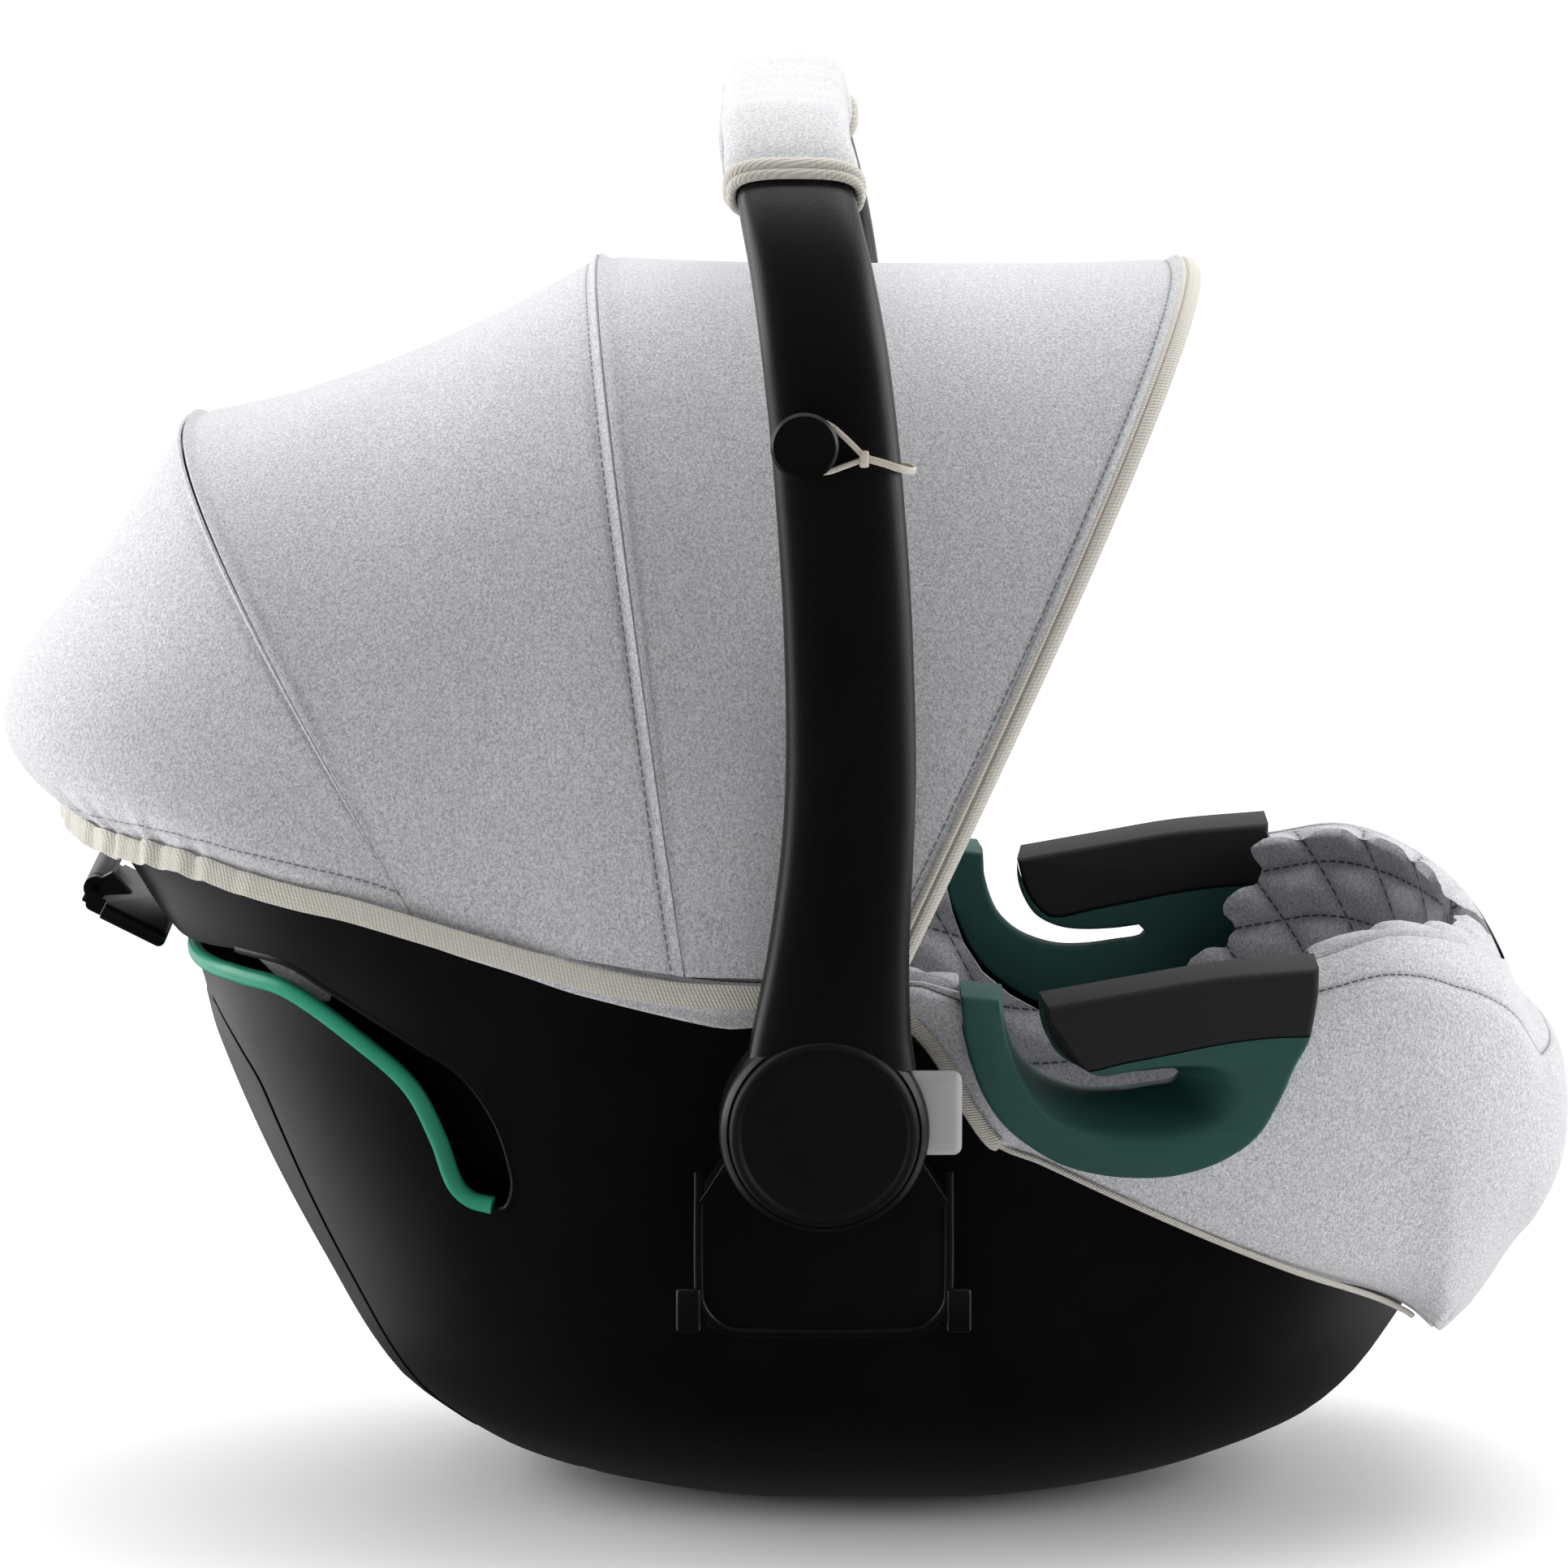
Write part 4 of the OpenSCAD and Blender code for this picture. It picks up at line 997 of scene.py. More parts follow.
@dataclass
class RockerShell:
    """The outer shell with its belt slot, the cover of its back, the slot's trim, and the tub behind."""

    around: int = 256
    wall: float = 3.0
    slot: Line = field(default_factory=lambda: [
        (-340, 226), (-226, 227), (-203, 224), (-168, 202), (-154, 190), (-144, 170), (-138, 150), (-131, 140),
        (-120, 138), (-111, 143), (-110, 156), (-117, 178), (-131, 198), (-166, 219), (-203, 240), (-224, 243),
        (-245, 241), (-340, 239)])
    trim: Line = field(default_factory=lambda: [
        (-300, 229.2), (-226, 230.2), (-203, 227.4), (-168, 205), (-151.5, 190), (-141, 169), (-134.5, 150),
        (-128, 143.5), (-119, 141.5)])
    latches: tuple[float, float] = (128.0, -72.0)

    def build(self) -> None:
        """Makes every piece of the shell."""
        self.shell()
        self.back_cover()
        self.slot_trim()
        self.slot_lip()
        self.tub()
        self.underside()

    def shell(self) -> None:
        """The moulded wall, cut for the slot, the hooks, the pins and the latch bars."""
        angles = turns(self.around)
        levels = [0.005, 0.012, 0.022, 0.035, 0.05, 0.07, 0.095] + list(np.linspace(0.13, 1, 34))
        outer = [[Form.bottom(f, a) for a in angles] for f in (0.02, 0.15, 0.3, 0.45, 0.6, 0.75, 0.87, 0.95)]
        outer += [[Form.shell(h, a) for a in angles] for h in [0, *levels]]
        inner = [[Form.shell(h, a, self.wall) for a in angles] for h in levels[::-3]]
        inner += [[Form.bottom(f, a, self.wall) for a in angles] for f in (1, 0.75, 0.45, 0.15)]
        obj = loft("shell", outer + inner, capped=True)
        holes = [prism("hole", self.slot, -260, 260), *Form.hook_notches()]
        holes += [block("bay", (x - 14, -60, -10), (x + 14, 60, 50), 2.5) for x in self.latches]
        holes += [turned("bore", (16, 0, 187), [(12, s * 120), (12, s * 230)], 48) for s in (1, -1)]
        place(shaded(cut(obj, *holes, *self.cover_groove()), 40), "shell", "shell_plastic", Finishes.SHELL, "outer_shell")

    @staticmethod
    def cover_edge(h: float) -> float:
        """The angle from the head end to the back cover's edge at a height."""
        return math.asin(curve([(0, 0.5), (0.13, 0.46), (0.6, 0.45), (0.68, 0.38), (0.745, 0.25)], h))

    def back_cover(self) -> None:
        """The separate panel over the back of the shell, set in a fine groove."""
        heights = np.linspace(0.03, 0.735, 40)

        def sheet(inward: float, low: float, high: float) -> list[list[Point]]:
            """The panel's outer or inner face."""
            return [[Form.shell(h, math.pi + self.cover_edge(h) * k * 0.992, inward) for k in np.linspace(low, high, 61)] for h in heights]

        outer, inner = sheet(-0.35, -1, 1), sheet(0.8, 1, -1)
        obj = loft("back_cover", [a + b for a, b in zip(outer, inner)], capped=True)
        place(rounded(obj, 0.25, 2, 50), "shell", "cover_plastic", Finishes.COVER, "back_cover")

    def cover_groove(self) -> list[bpy.types.Object]:
        """The cutters for the groove along the back cover's two edges."""
        cutters = []
        for s in (1, -1):
            path = [Form.shell(h, math.pi + s * self.cover_edge(h), 0) for h in np.linspace(0.02, 0.745, 60)]
            cutters.append(swept("groove", path, oval(0.75, 1.3, 8), (0, s, 0)))
        return cutters

    def edge_line(self, points: Line, step: float = 4, inward: float = 0.0) -> list[Point]:
        """A line on the shell's left face through points of the side view."""
        fine = rounded_path([(x, 0, z) for x, z in points], step)
        return [Form.side(x, z, inward) for x, _, z in fine]

    def slot_trim(self) -> None:
        """The bead along the slot's lower edge, which wraps round the head end."""
        side = self.edge_line([p for p in self.trim if p[0] > -240], 3, 0.8)
        h = (229.6 - Form.keel(-245)) / (Form.rim(-245) - Form.keel(-245))
        back = [(x, y, 229.6) for x, y, _ in (Form.shell(h, math.radians(a), 0.8) for a in np.arange(180, 137, -2.0)) if x < -231]
        half = back + side
        path = [(x, -y, z) for x, y, z in half[::-1]] + half[1:]
        obj = swept("slot_trim", path, oval(2.9, 3.7, 16, 2.4), (0, 0, 1))
        place(obj, "shell", "trim_green", Finishes.TRIM, "belt_slot_trim")

    def slot_lip(self) -> None:
        """The rounded lip round the slot's end and along its upper edge."""
        upper = [(-119, 138.6), (-113.5, 140.2), (-110.6, 146), (-110.2, 155), (-117, 178), (-131, 198), (-148, 208.5),
                 (-166, 219), (-185, 230), (-203, 240), (-224, 243)]
        one = swept("slot_lip", self.edge_line(upper, 3, 1.4), oval(2.0, 2.0, 12), (0, 1, 0))
        both = joined("slot_lip", one, mirrored(one, "lip_twin"))
        place(both, "shell", "shell_plastic", Finishes.SHELL)

    def tub(self) -> None:
        """The inner tub, seen through the slot."""

        def inward(h: float, a: float) -> float:
            """How far the tub lies inside the shell."""
            deep = lerp(5, 12, smooth((-math.cos(a) - 0.05) / 0.25))
            return 3.4 + deep * (1 - smooth((h - 0.86) / 0.12))

        angles, levels = turns(128), [0.06, 0.2, 0.4, 0.6, 0.78, 0.86, 0.9, 0.94, 0.97, 1]
        rows = [[Form.bottom(f, a, 22.4) for a in angles] for f in (0.02, 0.4, 0.8)]
        rows += [[Form.shell(h, a, inward(h, a)) for a in angles] for h in levels]
        rows += [[Form.shell(h, a, inward(h, a) + 2.4) for a in angles] for h in levels[::-1]]
        rows += [[Form.bottom(f, a, 24.8) for a in angles] for f in (0.8, 0.4, 0.02)]
        obj = loft("seat_tub", rows, capped=True)
        cut(obj, *Form.hook_notches())
        place(shaded(obj, 40), "shell", "tub_plastic", Finishes.TUB, "seat_tub")

    def underside(self) -> None:
        """The steel bars that the base grips, the pins, and the foam under the cover."""
        angles = turns(96)
        shares = (0.03, 0.2, 0.4, 0.55, 0.66, 0.74, 0.8)
        rows = [[Form.hollow(f, a, 14 + 8 * f**8) for a in angles] for f in shares]
        rows += [[Form.hollow(f, a, 24 + 8 * f**8) for a in angles] for f in shares[::-1]]
        foam = cut(loft("foam", rows, capped=True), *Form.hook_notches())
        place(shaded(foam, 50), "shell", "foam", Finishes.FOAM, "foam_liner")
        for node, finish in (("latch_bars", Finishes.STEEL), ("pivot_pins", Finishes.STEEL)):
            dress(node, finish)


@dataclass
class SeatCover:
    """The quilted cover of the hollow and the flap that hangs over the shell's rim."""

    around: int = 480
    puff: float = 3.6
    row: float = 24.0
    column: float = 31.0
    slant: float = 0.8
    hem: Line = field(default_factory=lambda: [
        (-300, 265), (-184, 261), (-132, 246), (-86, 235), (-39, 224), (-20, 221), (0, 224), (16, 226), (40, 226),
        (52, 221), (63, 208), (74, 188), (85, 173), (103, 165), (142, 146), (175, 130), (208, 114), (240, 98),
        (258, 84), (268, 70), (272, 62)])
    front: Line = field(default_factory=lambda: [
        (0, 258), (0.05, 279), (0.13, 295), (0.3, 311), (0.5, 326), (0.65, 330), (0.82, 329), (0.92, 324), (1, 306)])
    belly: Line = field(default_factory=lambda: [(0, -1), (0.3, 2.5), (0.6, 4.5), (0.84, 5.2), (0.94, 2), (1, -5)])

    def build(self) -> None:
        """Makes the cover, the flap, the piping and the seams."""
        self.quilted()
        self.skirt()
        self.piping()

    def quilted(self) -> None:
        """The lining of the hollow: puffs between sewn lines, over the crest and down to the rim."""
        angles = turns(self.around)
        shares = [0.03, 0.2, 0.4, 0.52] + [1 - 0.4 * (1 - t) ** 2 for t in np.linspace(0, 1, 62)]
        rows = [[Form.hollow(f, a) for a in angles] for f in shares]
        for k in range(1, 11):
            t = k / 10
            rows.append([tuple(lerp(p, q, t) for p, q in zip(Form.hollow(1, a), Form.crest(a, 12, 2.6 * math.sin(math.pi * t * 0.6)))) for a in angles])
        grid = np.array(rows)
        top = len(shares) + 9
        down = np.linalg.norm(np.diff(grid, axis=0), axis=2)
        depth = np.zeros(grid.shape[:2])
        for i in range(top - 1, -1, -1):
            depth[i] = depth[i + 1] + down[i]
        crest = grid[len(shares) - 1]
        along = np.concatenate([[0], np.cumsum(np.linalg.norm(np.diff(np.vstack([crest, crest[:1]]), axis=0), axis=1))])
        along *= round(along[-1] / self.column) * self.column / along[-1]
        uv = np.zeros((len(rows), len(angles) + 1, 2))
        uv[:, :, 0] = along
        uv[:, :-1, 1] = depth
        uv[:, -1, 1] = depth[:, 0]
        s, t = uv[:, :-1, 0], uv[:, :-1, 1]
        a = np.abs(((t / self.row + 0.5) % 1) - 0.5) * self.row
        b = np.abs((((s + t * self.slant) / self.column + 0.5) % 1) - 0.5) * self.column
        pillow = (1 - np.exp(-((a / 5.5) ** 2))) * (1 - np.exp(-((b / 5.5) ** 2)))
        fade = np.clip((100 - t) / 12, 0, 1) * np.clip(t / 3, 0, 1)
        normal = np.cross(np.roll(grid, -1, 1) - np.roll(grid, 1, 1), np.gradient(grid, axis=0))
        normal /= np.maximum(np.linalg.norm(normal, axis=2), 1e-9)[:, :, None]
        flip = np.sign(normal[2, :, 2].mean())
        grid = grid + normal * flip * (pillow * fade * self.puff - 0.6 * fade)[:, :, None]
        outer = [[Form.crest(a, 8.5, -1) for a in angles], [Form.on_rim(a, 7.5, 4) for a in angles],
                 [Form.on_rim(a, 9, 0.6) for a in angles], [Form.on_rim(a, 20, 0.6) for a in angles]]
        lower = (0.985, 0.965, 0.945, 0.925, 0.9, 0.87, 0.84, 0.8, 0.76, 0.7, 0.6, 0.4, 0.2, 0.03)
        under = [[Form.hollow(f, a, 6 + 5 * f**8) for a in angles] for f in lower]
        full = np.concatenate([grid, np.array(outer + under)])
        flat = np.concatenate([uv, np.tile([[[0.0, -50.0]]], (4 + len(lower), len(angles) + 1, 1))])
        obj = loft("seat_cover", list(full), capped=True, uv=flat)
        cut(obj, *Form.hook_notches())
        place(shaded(obj, 60), "shell", "cover_fabric", Finishes.SEAT, "seat_cover")

    def flap(self, k: float, a: float, inward: float = 0) -> Point:
        """A point of the flap.

        Args:
            k: The share of the way from its hem to its crest.
            a: The angle round it, from the foot end.
            inward: How far inside its outer face.

        Returns:
            The point.
        """
        rear = math.cos(a) < 0
        belly = curve(self.belly, k)
        half = 171 + (max(2.0, belly) if rear else belly) - inward
        ends = (85 + 291.2 - inward) if rear else curve(self.front, k) - inward - 85
        n = 3.4 if rear else 2.7
        x = 85 + ends * power(math.cos(a), n)
        return x, half * power(math.sin(a), n), lerp(curve(self.hem, x), curve(Form.CREST, x) + 1, k) + Form.lift(x)

    def skirt(self) -> None:
        """The flap: a soft shell with a seam under its crest and a gathered hem."""
        angles = turns(self.around)
        levels = list(np.linspace(0, 0.84, 22)) + [0.87, 0.895, 0.91, 0.92, 0.93, 0.945, 0.965, 0.985, 1]

        def ring(k: float, inward: float) -> list[Point]:
            """A row of the flap, drawn in at its seam and its hem, with soft waves at the foot end."""
            groove = 1.5 * math.exp(-(((k - 0.92) / 0.012) ** 2)) + 0.8 * math.exp(-((k / 0.03) ** 2))
            wave = [0.7 * math.sin(9 * a + 4 * k) * math.sin(math.pi * k) * smooth(math.cos(a) * 3) for a in angles]
            return [self.flap(k, a, groove - w + inward) for a, w in zip(angles, wave)]

        rows = [ring(k, 0) for k in levels]
        inside = [ring(k, 2.8) for k in levels[::-3]]
        grid = np.array(rows)
        along = np.concatenate([[0], np.cumsum(np.linalg.norm(np.diff(np.vstack([grid[12], grid[12][:1]]), axis=0), axis=1))])
        uv = np.zeros((len(rows), len(angles) + 1, 2))
        uv[:, :, 0] = along
        step = np.linalg.norm(np.diff(grid, axis=0), axis=2)
        seam = levels.index(0.92)
        height = np.vstack([np.zeros(len(angles)), np.cumsum(step, axis=0)])
        uv[:, :-1, 1] = height - height[seam] + 6
        uv[:, -1, 1] = uv[:, 0, 1]
        lining = np.tile([[[0.0, -50.0]]], (len(inside) + 1, len(angles) + 1, 1))
        obj = loft("cover_skirt", rows + inside, row_closed=True, uv=np.concatenate([uv, lining]))
        cut(obj, *Form.hook_notches())
        place(shaded(obj, 50), "shell", "cover_fabric", Finishes.SKIRT, "cover_skirt")

    def piping(self) -> None:
        """The ribbed strip round the hub's cut-out and the thin cord along the rest of the hem."""
        strips = []
        for low, high, wide, thick in ((40, 87, 3.2, 1.2), (87, 262, 1.3, 1.1)):
            path = []
            for x in np.arange(low, high + 0.1, 1.5):
                c = (x - 85) / 187 if x > 85 else (x - 85) / 376.2
                n = 2.7 if x > 85 else 3.4
                y = (171 + (-1 if x > 85 else 2.0)) * (1 - min(0.999, abs(c)) ** n) ** (1 / n) + 1.0
                path.append((x, y, curve(self.hem, x) + 1.5))
            one = swept("piping", path, oval(wide, thick, 14, 2.4), (0, 1, 0))
            strips += [one, mirrored(one, "piping_twin")]
        place(joined("hem_piping", *strips), "shell", "binding", Finishes.PIPING)


@dataclass
class BeltHook:
    """A belt hook: a moulded body with a funnel to its slot, and a soft grip on top."""

    side: Side
    near: float = 148.0
    far: float = 184.0
    body: Line = field(default_factory=lambda: [
        (71, 237), (72, 222), (75, 209), (80, 196), (88, 184), (100, 174), (113, 167), (129, 163), (146, 162),
        (160, 163.5), (176, 169), (190, 179), (199, 194), (205, 208), (211, 220), (214, 248), (174, 244.5),
        (142, 239), (103, 232), (103.5, 222), (107, 213), (112, 206.5), (121, 202), (131, 200.5), (146, 201),
        (157, 202.5), (160, 199.5), (157, 196.5), (148, 195), (135, 193), (121, 193), (110, 196), (101, 201),
        (93, 210), (89, 222), (88, 235)])
    grip: Line = field(default_factory=lambda: [
        (103, 232), (142, 239), (174, 244.5), (214, 248), (213.7, 237), (211, 220), (194, 219.5), (175, 217),
        (155, 213), (135, 209), (119, 206), (111, 212), (106, 221)])
    mouth: Line = field(default_factory=lambda: [
        (84, 252), (87, 229), (91.5, 210), (99, 195), (110, 185.5), (128, 180), (151, 179), (168, 183), (177, 189),
        (181, 198), (179, 204), (171, 207.5), (151, 207.5), (138, 205.5), (126, 204), (119, 208), (111, 219),
        (106, 229), (105, 252)])
    throat: Line = field(default_factory=lambda: [
        (87, 252), (88.7, 232), (93, 211), (100, 202), (110, 196.5), (125, 193.5), (145, 195.3), (154, 196.4),
        (158, 197.4), (160, 199.5), (158, 201.6), (154, 201.8), (146, 200.8), (138, 200.3), (125, 201), (113, 206),
        (107, 213.5), (103.4, 232), (102, 252)])

    def build(self) -> None:
        """Makes the body and the grip."""
        word, s = self.side.word, self.side.value
        body = self.cushioned("belt_hook", self.drawn(self.body), self.near, self.far, 1.8)
        shelf = prism("shelf", self.grown(self.drawn(self.grip), 0.3), self.near - 2, self.far + 2)
        cut(body, shelf, self.funnel())
        grip = self.cushioned("hook_grip", self.drawn(self.grip), self.near + 0.4, self.far + 1, 2.6)
        cut(grip, self.funnel())
        for part in (body, grip):
            shaded(part, 32)
        for obj, slot, finish, node in (
            (body, "hook_green", Finishes.HOOK, "belt_hook"), (grip, "grip_rubber", Finishes.GRIP, "hook_grip")
        ):
            name = f"{node}_{word}"
            if s < 0:
                twin = mirrored(obj, name + "_body")
                bpy.data.objects.remove(obj)
                obj = twin
            obj.name = name + "_body"
            place(obj, "shell", slot, finish, name)

    @staticmethod
    def grown(outline: Line, by: float) -> Line:
        """An outline grown a little from its middle."""
        cx, cz = (sum(c) / len(outline) for c in zip(*outline))
        return [(x + by * (x - cx) / 50, z + by * (z - cz) / 20) for x, z in outline]

    @staticmethod
    def drawn(outline: Line) -> Line:
        """An outline whose gentle corners are drawn as curves."""
        p = np.array(outline, float)
        n = len(p)
        out = []
        for i in range(n):
            a, b, c, d = p[i - 1], p[i], p[(i + 1) % n], p[(i + 2) % n]
            u, v, w = b - a, c - b, d - c
            turn_b = abs(math.degrees(math.atan2(u[0] * v[1] - u[1] * v[0], u @ v)))
            turn_c = abs(math.degrees(math.atan2(v[0] * w[1] - v[1] * w[0], v @ w)))
            t0 = (c - a) / 2 if turn_b < 50 else v
            t1 = (d - b) / 2 if turn_c < 50 else v
            size = np.linalg.norm(v)
            t0, t1 = t0 / np.linalg.norm(t0) * size, t1 / np.linalg.norm(t1) * size
            for k in range(4):
                t = k / 4
                out.append(tuple((2 * t**3 - 3 * t**2 + 1) * b + (t**3 - 2 * t**2 + t) * t0 + (3 * t**2 - 2 * t**3) * c + (t**3 - t**2) * t1))
        return out

    @staticmethod
    def cushioned(name: str, outline: Line, y0: float, y1: float, radius: float) -> bpy.types.Object:
        """A prism whose rims are rounded.

        Args:
            name: The piece's name.
            outline: Its outline in X and Z.
            y0: Where it starts across the seat.
            y1: Where it ends.
            radius: The rounding's radius.

        Returns:
            The new object.
        """
        p = np.array(outline, float)
        back, on = p - np.roll(p, 1, 0), np.roll(p, -1, 0) - p
        back /= np.linalg.norm(back, axis=1)[:, None]
        on /= np.linalg.norm(on, axis=1)[:, None]
        area = (p[:, 0] * np.roll(p[:, 1], -1) - np.roll(p[:, 0], -1) * p[:, 1]).sum()
        inward = np.stack([-(back + on)[:, 1], (back + on)[:, 0]], axis=1) * math.copysign(1, area)
        inward /= np.maximum((back + on)[:, 0] ** 2 + (back + on)[:, 1] ** 2, 1.2)[:, None] / 2
        rows = []
        for t in np.linspace(0, math.pi / 2, 6):
            rows.append([(x, y0 + radius * (1 - math.sin(t)), z) for x, z in p + inward * radius * (1 - math.cos(t))][::1])
        rows = rows[::-1]
        for t in np.linspace(0, math.pi / 2, 6):
            rows.append([(x, y1 - radius * (1 - math.sin(t)), z) for x, z in p + inward * radius * (1 - math.cos(t))])
        return loft(name, rows, capped=True)

    def funnel(self) -> bpy.types.Object:
        """The space that leads the belt in from the outer face to the slot."""
        mouth, throat = self.drawn(self.mouth), self.drawn(self.throat)
        rows = []
        for t, deep in ((1.0, 30), (1.0, 27), (0.8, 22), (0.55, 16), (0.32, 10), (0.14, 5), (0.04, 2.2), (-0.03, 1), (-0.12, 0.1), (-0.3, -1.4)):
            rows.append([(lerp(m[0], q[0], t), self.far - deep, lerp(m[1], q[1], t)) for m, q in zip(mouth, throat)])
        obj = loft("funnel", rows, capped=True)
        return tidy(obj)


@dataclass
class HubSide:
    """One side's adapter socket, and the hub, cap, button and knob of the handle."""

    side: Side
    radius: float = 42.0
    outline: Line = field(default_factory=lambda: [
        (-36, 150), (-36, 112), (-30, 101), (-18, 97), (50, 97), (62, 101), (68, 112), (68, 150), (54, 172), (-22, 172)])
    wall: Line = field(default_factory=lambda: [
        (150.2, 96), (184, 96), (184, 150), (187, 158), (187, 226), (171.8, 226), (170.6, 205), (167.4, 187),
        (163.6, 165), (159.2, 140), (154.4, 116)])

    def build(self) -> None:
        """Makes this side's pieces."""
        self.socket()
        self.hub()
        self.cap()
        self.button()
        self.knob()
        dress(f"button_spring_{self.side.word}", Finishes.STEEL)

    def put(self, obj: bpy.types.Object, name: str, body: str, slot: str, finish: Finish, *nodes: str) -> None:
        """Mirrors a piece made on the left where this is the right side, and places it."""
        full = f"{name}_{self.side.word}"
        if self.side is Side.RIGHT:
            twin = mirrored(obj, full)
            bpy.data.objects.remove(obj)
            obj = twin
        obj.name = obj.data.name = full
        place(obj, body, slot, finish, *nodes)

    def socket(self) -> None:
        """The socket's housing, with a raised rim round its foot and the slot from below."""
        obj = prism("socket", self.outline, 120, 187)
        disc = turned("disc", (16, 0, 187), [(38, 120), (38, 187)], 96)
        finish_with(obj, "BOOLEAN", object=disc, solver="EXACT", operation="UNION")
        bpy.data.objects.remove(disc)
        n = len(self.wall)
        verts = [(x, y, z) for x in (-60, 90) for y, z in self.wall]
        faces = [tuple(range(n)), tuple(range(2 * n - 1, n - 1, -1))] + [(j, (j + 1) % n, n + (j + 1) % n, n + j) for j in range(n)]
        cut(obj, tidy(new_object("wall", verts, faces)), keep=True)
        cut(obj, block("slot", (-12, 166, 60), (44, 179, 140), 2))
        rounded(obj, 2.2, 3, 40)
        face = [(-36, 163), (-36, 112), (-34.5, 106.5), (-30, 101), (-25, 98.2), (-18, 97), (50, 97), (57, 98.2),
                (62, 101), (66.5, 106.5), (68, 112), (68, 163)]
        path = [(x + (1.8 if x < 16 else -1.8), y, z + 1.8) for x, y, z in rounded_path([(x, 183.6, z) for x, z in face], 3)]
        rim = swept("rim", path, oval(2.0, 1.5, 12, 2.6), (0, 1, 0))
        clips = [block("clip", (x - 5, 182.5, 99), (x + 5, 185.8, 117), 1.4, 3) for x in (-38.5, 70.5)]
        self.put(joined("socket", obj, rim, *clips), "adapter_housing", "shell", "socket_plastic", Finishes.SOCKET,
                 f"adapter_socket_{self.side.word}")

    def hub(self) -> None:
        """The handle's round hub: a stepped ring with a soft shoulder."""
        r = self.radius
        profile = [(9.2, 188), (r - 2, 188), (r, 189.6), (r, 208), (r - 0.4, 210), (r - 1.4, 212.2), (r - 3.2, 213.6),
                   (r - 3.7, 213.4), (r - 3.9, 211.9), (10, 211.9)]
        obj = turned("hub", (16, 0, 187), profile, 160)
        cut(obj, block("pocket", (30, 195.6, 175.6), (74, 208.4, 210.4), 2.5))
        self.put(obj, "hub_body", "handle", "handle_plastic", Finishes.HANDLE, f"handle_hub_{self.side.word}")

    def cap(self) -> None:
        """The plain round cap, with a rolled edge and a shallow dish."""
        profile = [(37.9, 212.3), (37.9, 214.6), (37.4, 216), (36.3, 217), (35, 217.4), (33.9, 217), (33.3, 216.4),
                   (32.5, 216.15), (20, 216.3), (1, 216.35)]
        self.put(turned("cap", (16, 0, 187), profile, 160), "hub_disc", "handle", "cap_plastic", Finishes.CAP,
                 f"hub_cap_{self.side.word}")

    def button(self) -> None:
        """The grey button at the hub's front, crowned and rounded."""
        obj = block("button", (41, 196.2, 176.4), (71, 207.8, 209.8), 3.6, 6)
        finish_with(obj, "SUBSURF", levels=1, render_levels=1)
        self.put(shaded(obj, 60), "release_button", f"button_{self.side.word}", "button_grey", Finishes.BUTTON,
                 f"handle_button_{self.side.word}")

    def knob(self) -> None:
        """The knob on the arm and the elastic loop that hooks over it."""
        face = 216.0
        profile = [(12.5, face - 0.6), (12, face + 0.5), (9.2, face + 1.2), (8.6, face + 3), (10, face + 3.6),
                   (13.2, face + 4.4), (13.4, face + 5.6), (12.2, face + 6.8), (6, face + 7.2)]
        self.put(turned("knob", (8, 0, 463), profile, 64), "loop_knob", "handle", "handle_plastic", Finishes.HANDLE,
                 f"loop_hook_{self.side.word}")
        y = face + 1.6
        lines = [[(8, 0, 10.6), (17, 0.3, 8.5), (24, 0.6, 3), (31, 0.8, -4)], [(8, 0, -10.6), (17, 0.3, -10.4), (24, 0.6, -8), (31, 0.8, -5.4)],
                 [(31, 0.8, -4.8), (38, 0.9, -6.6), (45, 0.2, -9), (49.2, -3, -10.4), (51, -9, -11), (50.6, -16, -11), (48.4, -23, -11), (45, -27, -11)]]
        back = [(8 - 10.4 * math.sin(t), 0, 10.6 * math.cos(t)) for t in np.linspace(0, math.pi, 17)]
        parts = []
        for k, line in enumerate([*lines, back]):
            path = rounded_path([(x, y + b, 463 + c) for x, b, c in line], 1.2)
            parts.append(swept("strand", path, oval(1.5, 0.8, 12, 2.6) if k == 2 else oval(1.15, 0.75, 12, 2.6), (0, 1, 0.001)))
        parts.append(block("crimp", (29.5, y - 0.8, 454.4), (33.2, y + 2.2, 461), 0.9, 3))
        self.put(joined("loop", *parts), "loop", "handle", "elastic", Finishes.ELASTIC, f"elastic_loop_{self.side.word}")


